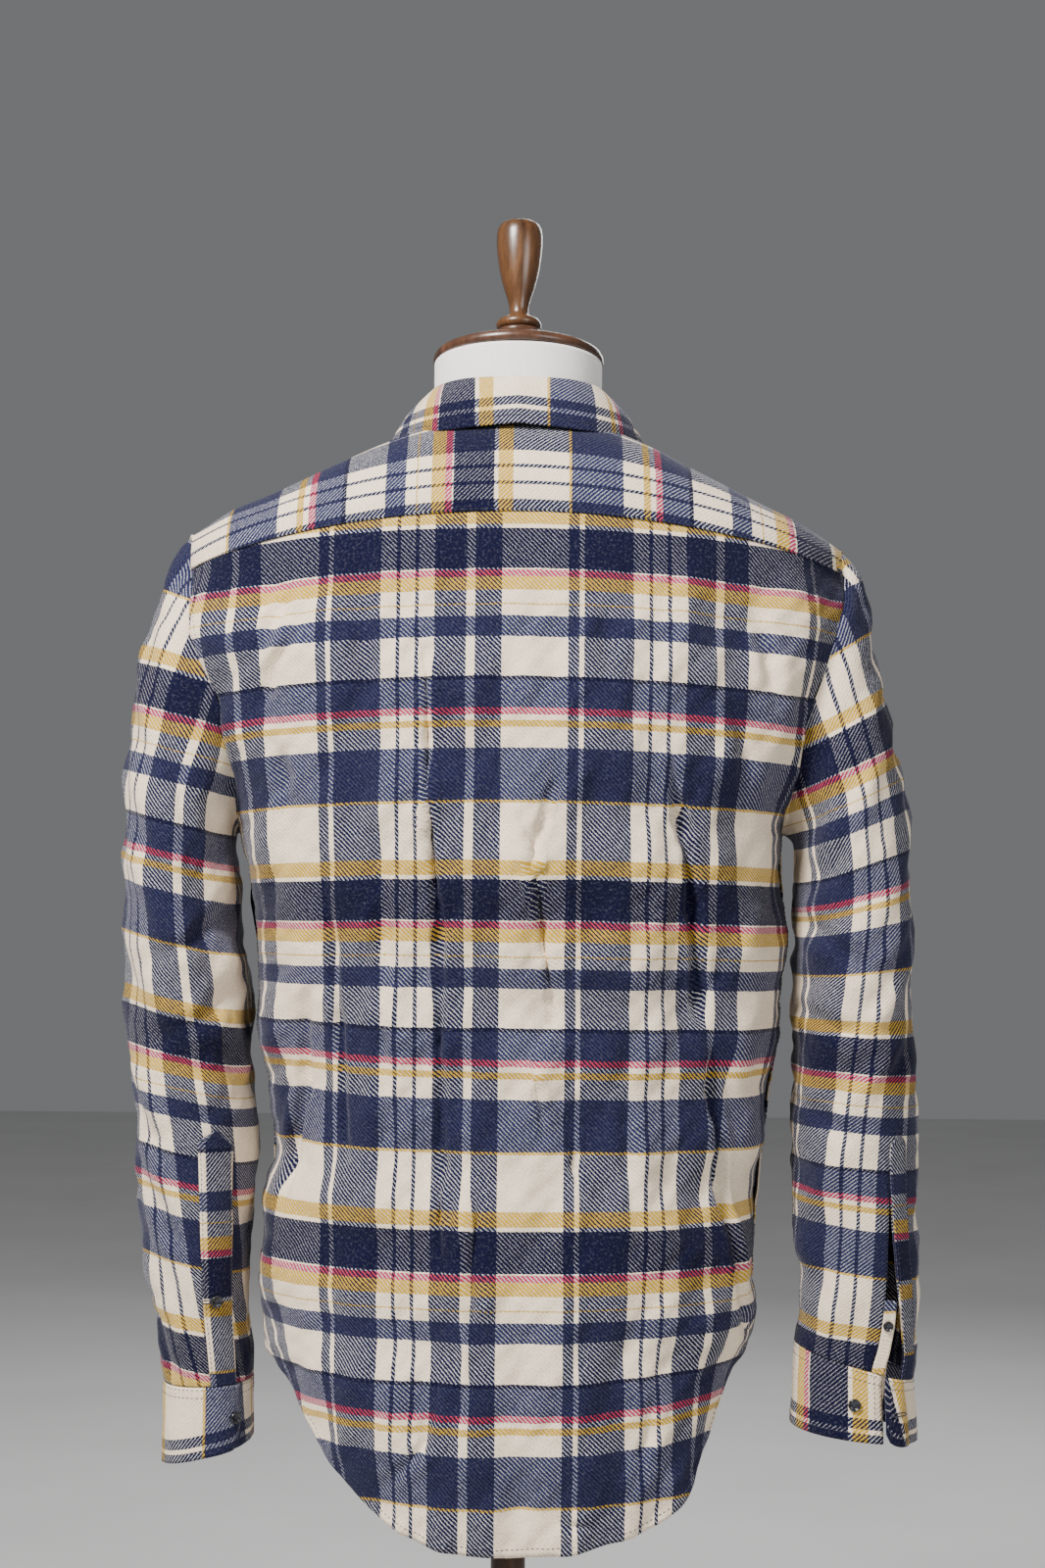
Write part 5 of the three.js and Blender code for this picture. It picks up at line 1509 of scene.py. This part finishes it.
plackets = build_plackets()
band = build_button_band()
build_buttons()
build_form()
build_turnings()
stitches("body_stitches", [
    line_at(back, "left", 6, 0.42), line_at(back, "right", 6, 0.42), line_at(back, "bottom", 5.8),
    line_at(front_left, "left", 6), line_at(front_right, "right", 6),
    line_at(front_left, "bottom", 5.8), line_at(front_right, "bottom", 5.8),
    line_at(yoke, "bottom", 1.8), line_at(leaf, "bottom", 6),
], NAVY_THREAD, "flannel")
stitches("cuff_stitches", [line_at(cuffs[name], edge, distance)
                           for name in cuffs for edge, distance in (("top", 1.8), ("top", 7.5), ("bottom", 6),
                                                                    ("left", 6), ("right", 6))],
         NAVY_THREAD, "flannel_cross")


# Camera at the photograph's place and angle
def aim_camera():
    data = bpy.data.cameras.new("camera")
    data.sensor_fit = "VERTICAL"
    data.sensor_height = 36
    data.lens = 59.6
    camera = bpy.data.objects.new("camera", data)
    pitch, roll = math.radians(1.73), math.radians(0.5)
    turn = Matrix.Rotation(RIGHT_ANGLE + pitch, 4, "X") @ Matrix.Rotation(roll, 4, "Z")
    camera.matrix_world = Matrix.Translation((0.0058, -1.93, 0.964)) @ turn
    bpy.context.scene.collection.objects.link(camera)
    bpy.context.scene.camera = camera


def add_light(name, place, target, size, power, color=(1, 1, 1)):
    data = bpy.data.lights.new(name, "AREA")
    data.shape = "DISK"
    data.size = size
    data.energy = power
    data.color = color
    light = bpy.data.objects.new(name, data)
    light.location = place
    light.rotation_euler = (Vector(target) - Vector(place)).to_track_quat("-Z", "Y").to_euler()
    bpy.context.scene.collection.objects.link(light)


def build_studio():
    size = 8000
    points = [(-size, -size, 0), (size, -size, 0), (size, size, 0), (-size, size, 0)]
    floor = mesh_object("floor", points, [(0, 1, 2, 3)], smooth=False)
    n = Nodes("floor")
    speckle = n.noise(n.add("TexCoord").outputs["Object"], 3.0, 3.0)
    color = n.ramp(speckle, [(0.3, (0.60, 0.60, 0.60)), (0.7, (0.64, 0.64, 0.64))])
    floor.data.materials.append(n.surface(Base_Color=color, Roughness=0.9))
    add_light("key", (-1.2, -1.7, 2.8), (0, 0, 1.1), 0.8, 176, (1.0, 0.975, 0.95))
    add_light("fill", (1.9, -2.3, 1.9), (0, 0, 0.95), 1.4, 34)
    add_light("back", (0.6, 2.6, 2.4), (0, 0, 0.95), 1.6, 42)
    world = bpy.data.worlds.new("studio")
    world.use_nodes = True
    world.node_tree.nodes["Background"].inputs["Color"].default_value = (0.8, 0.81, 0.83, 1)
    world.node_tree.nodes["Background"].inputs["Strength"].default_value = 0.21
    bpy.context.scene.world = world


aim_camera()
build_studio()
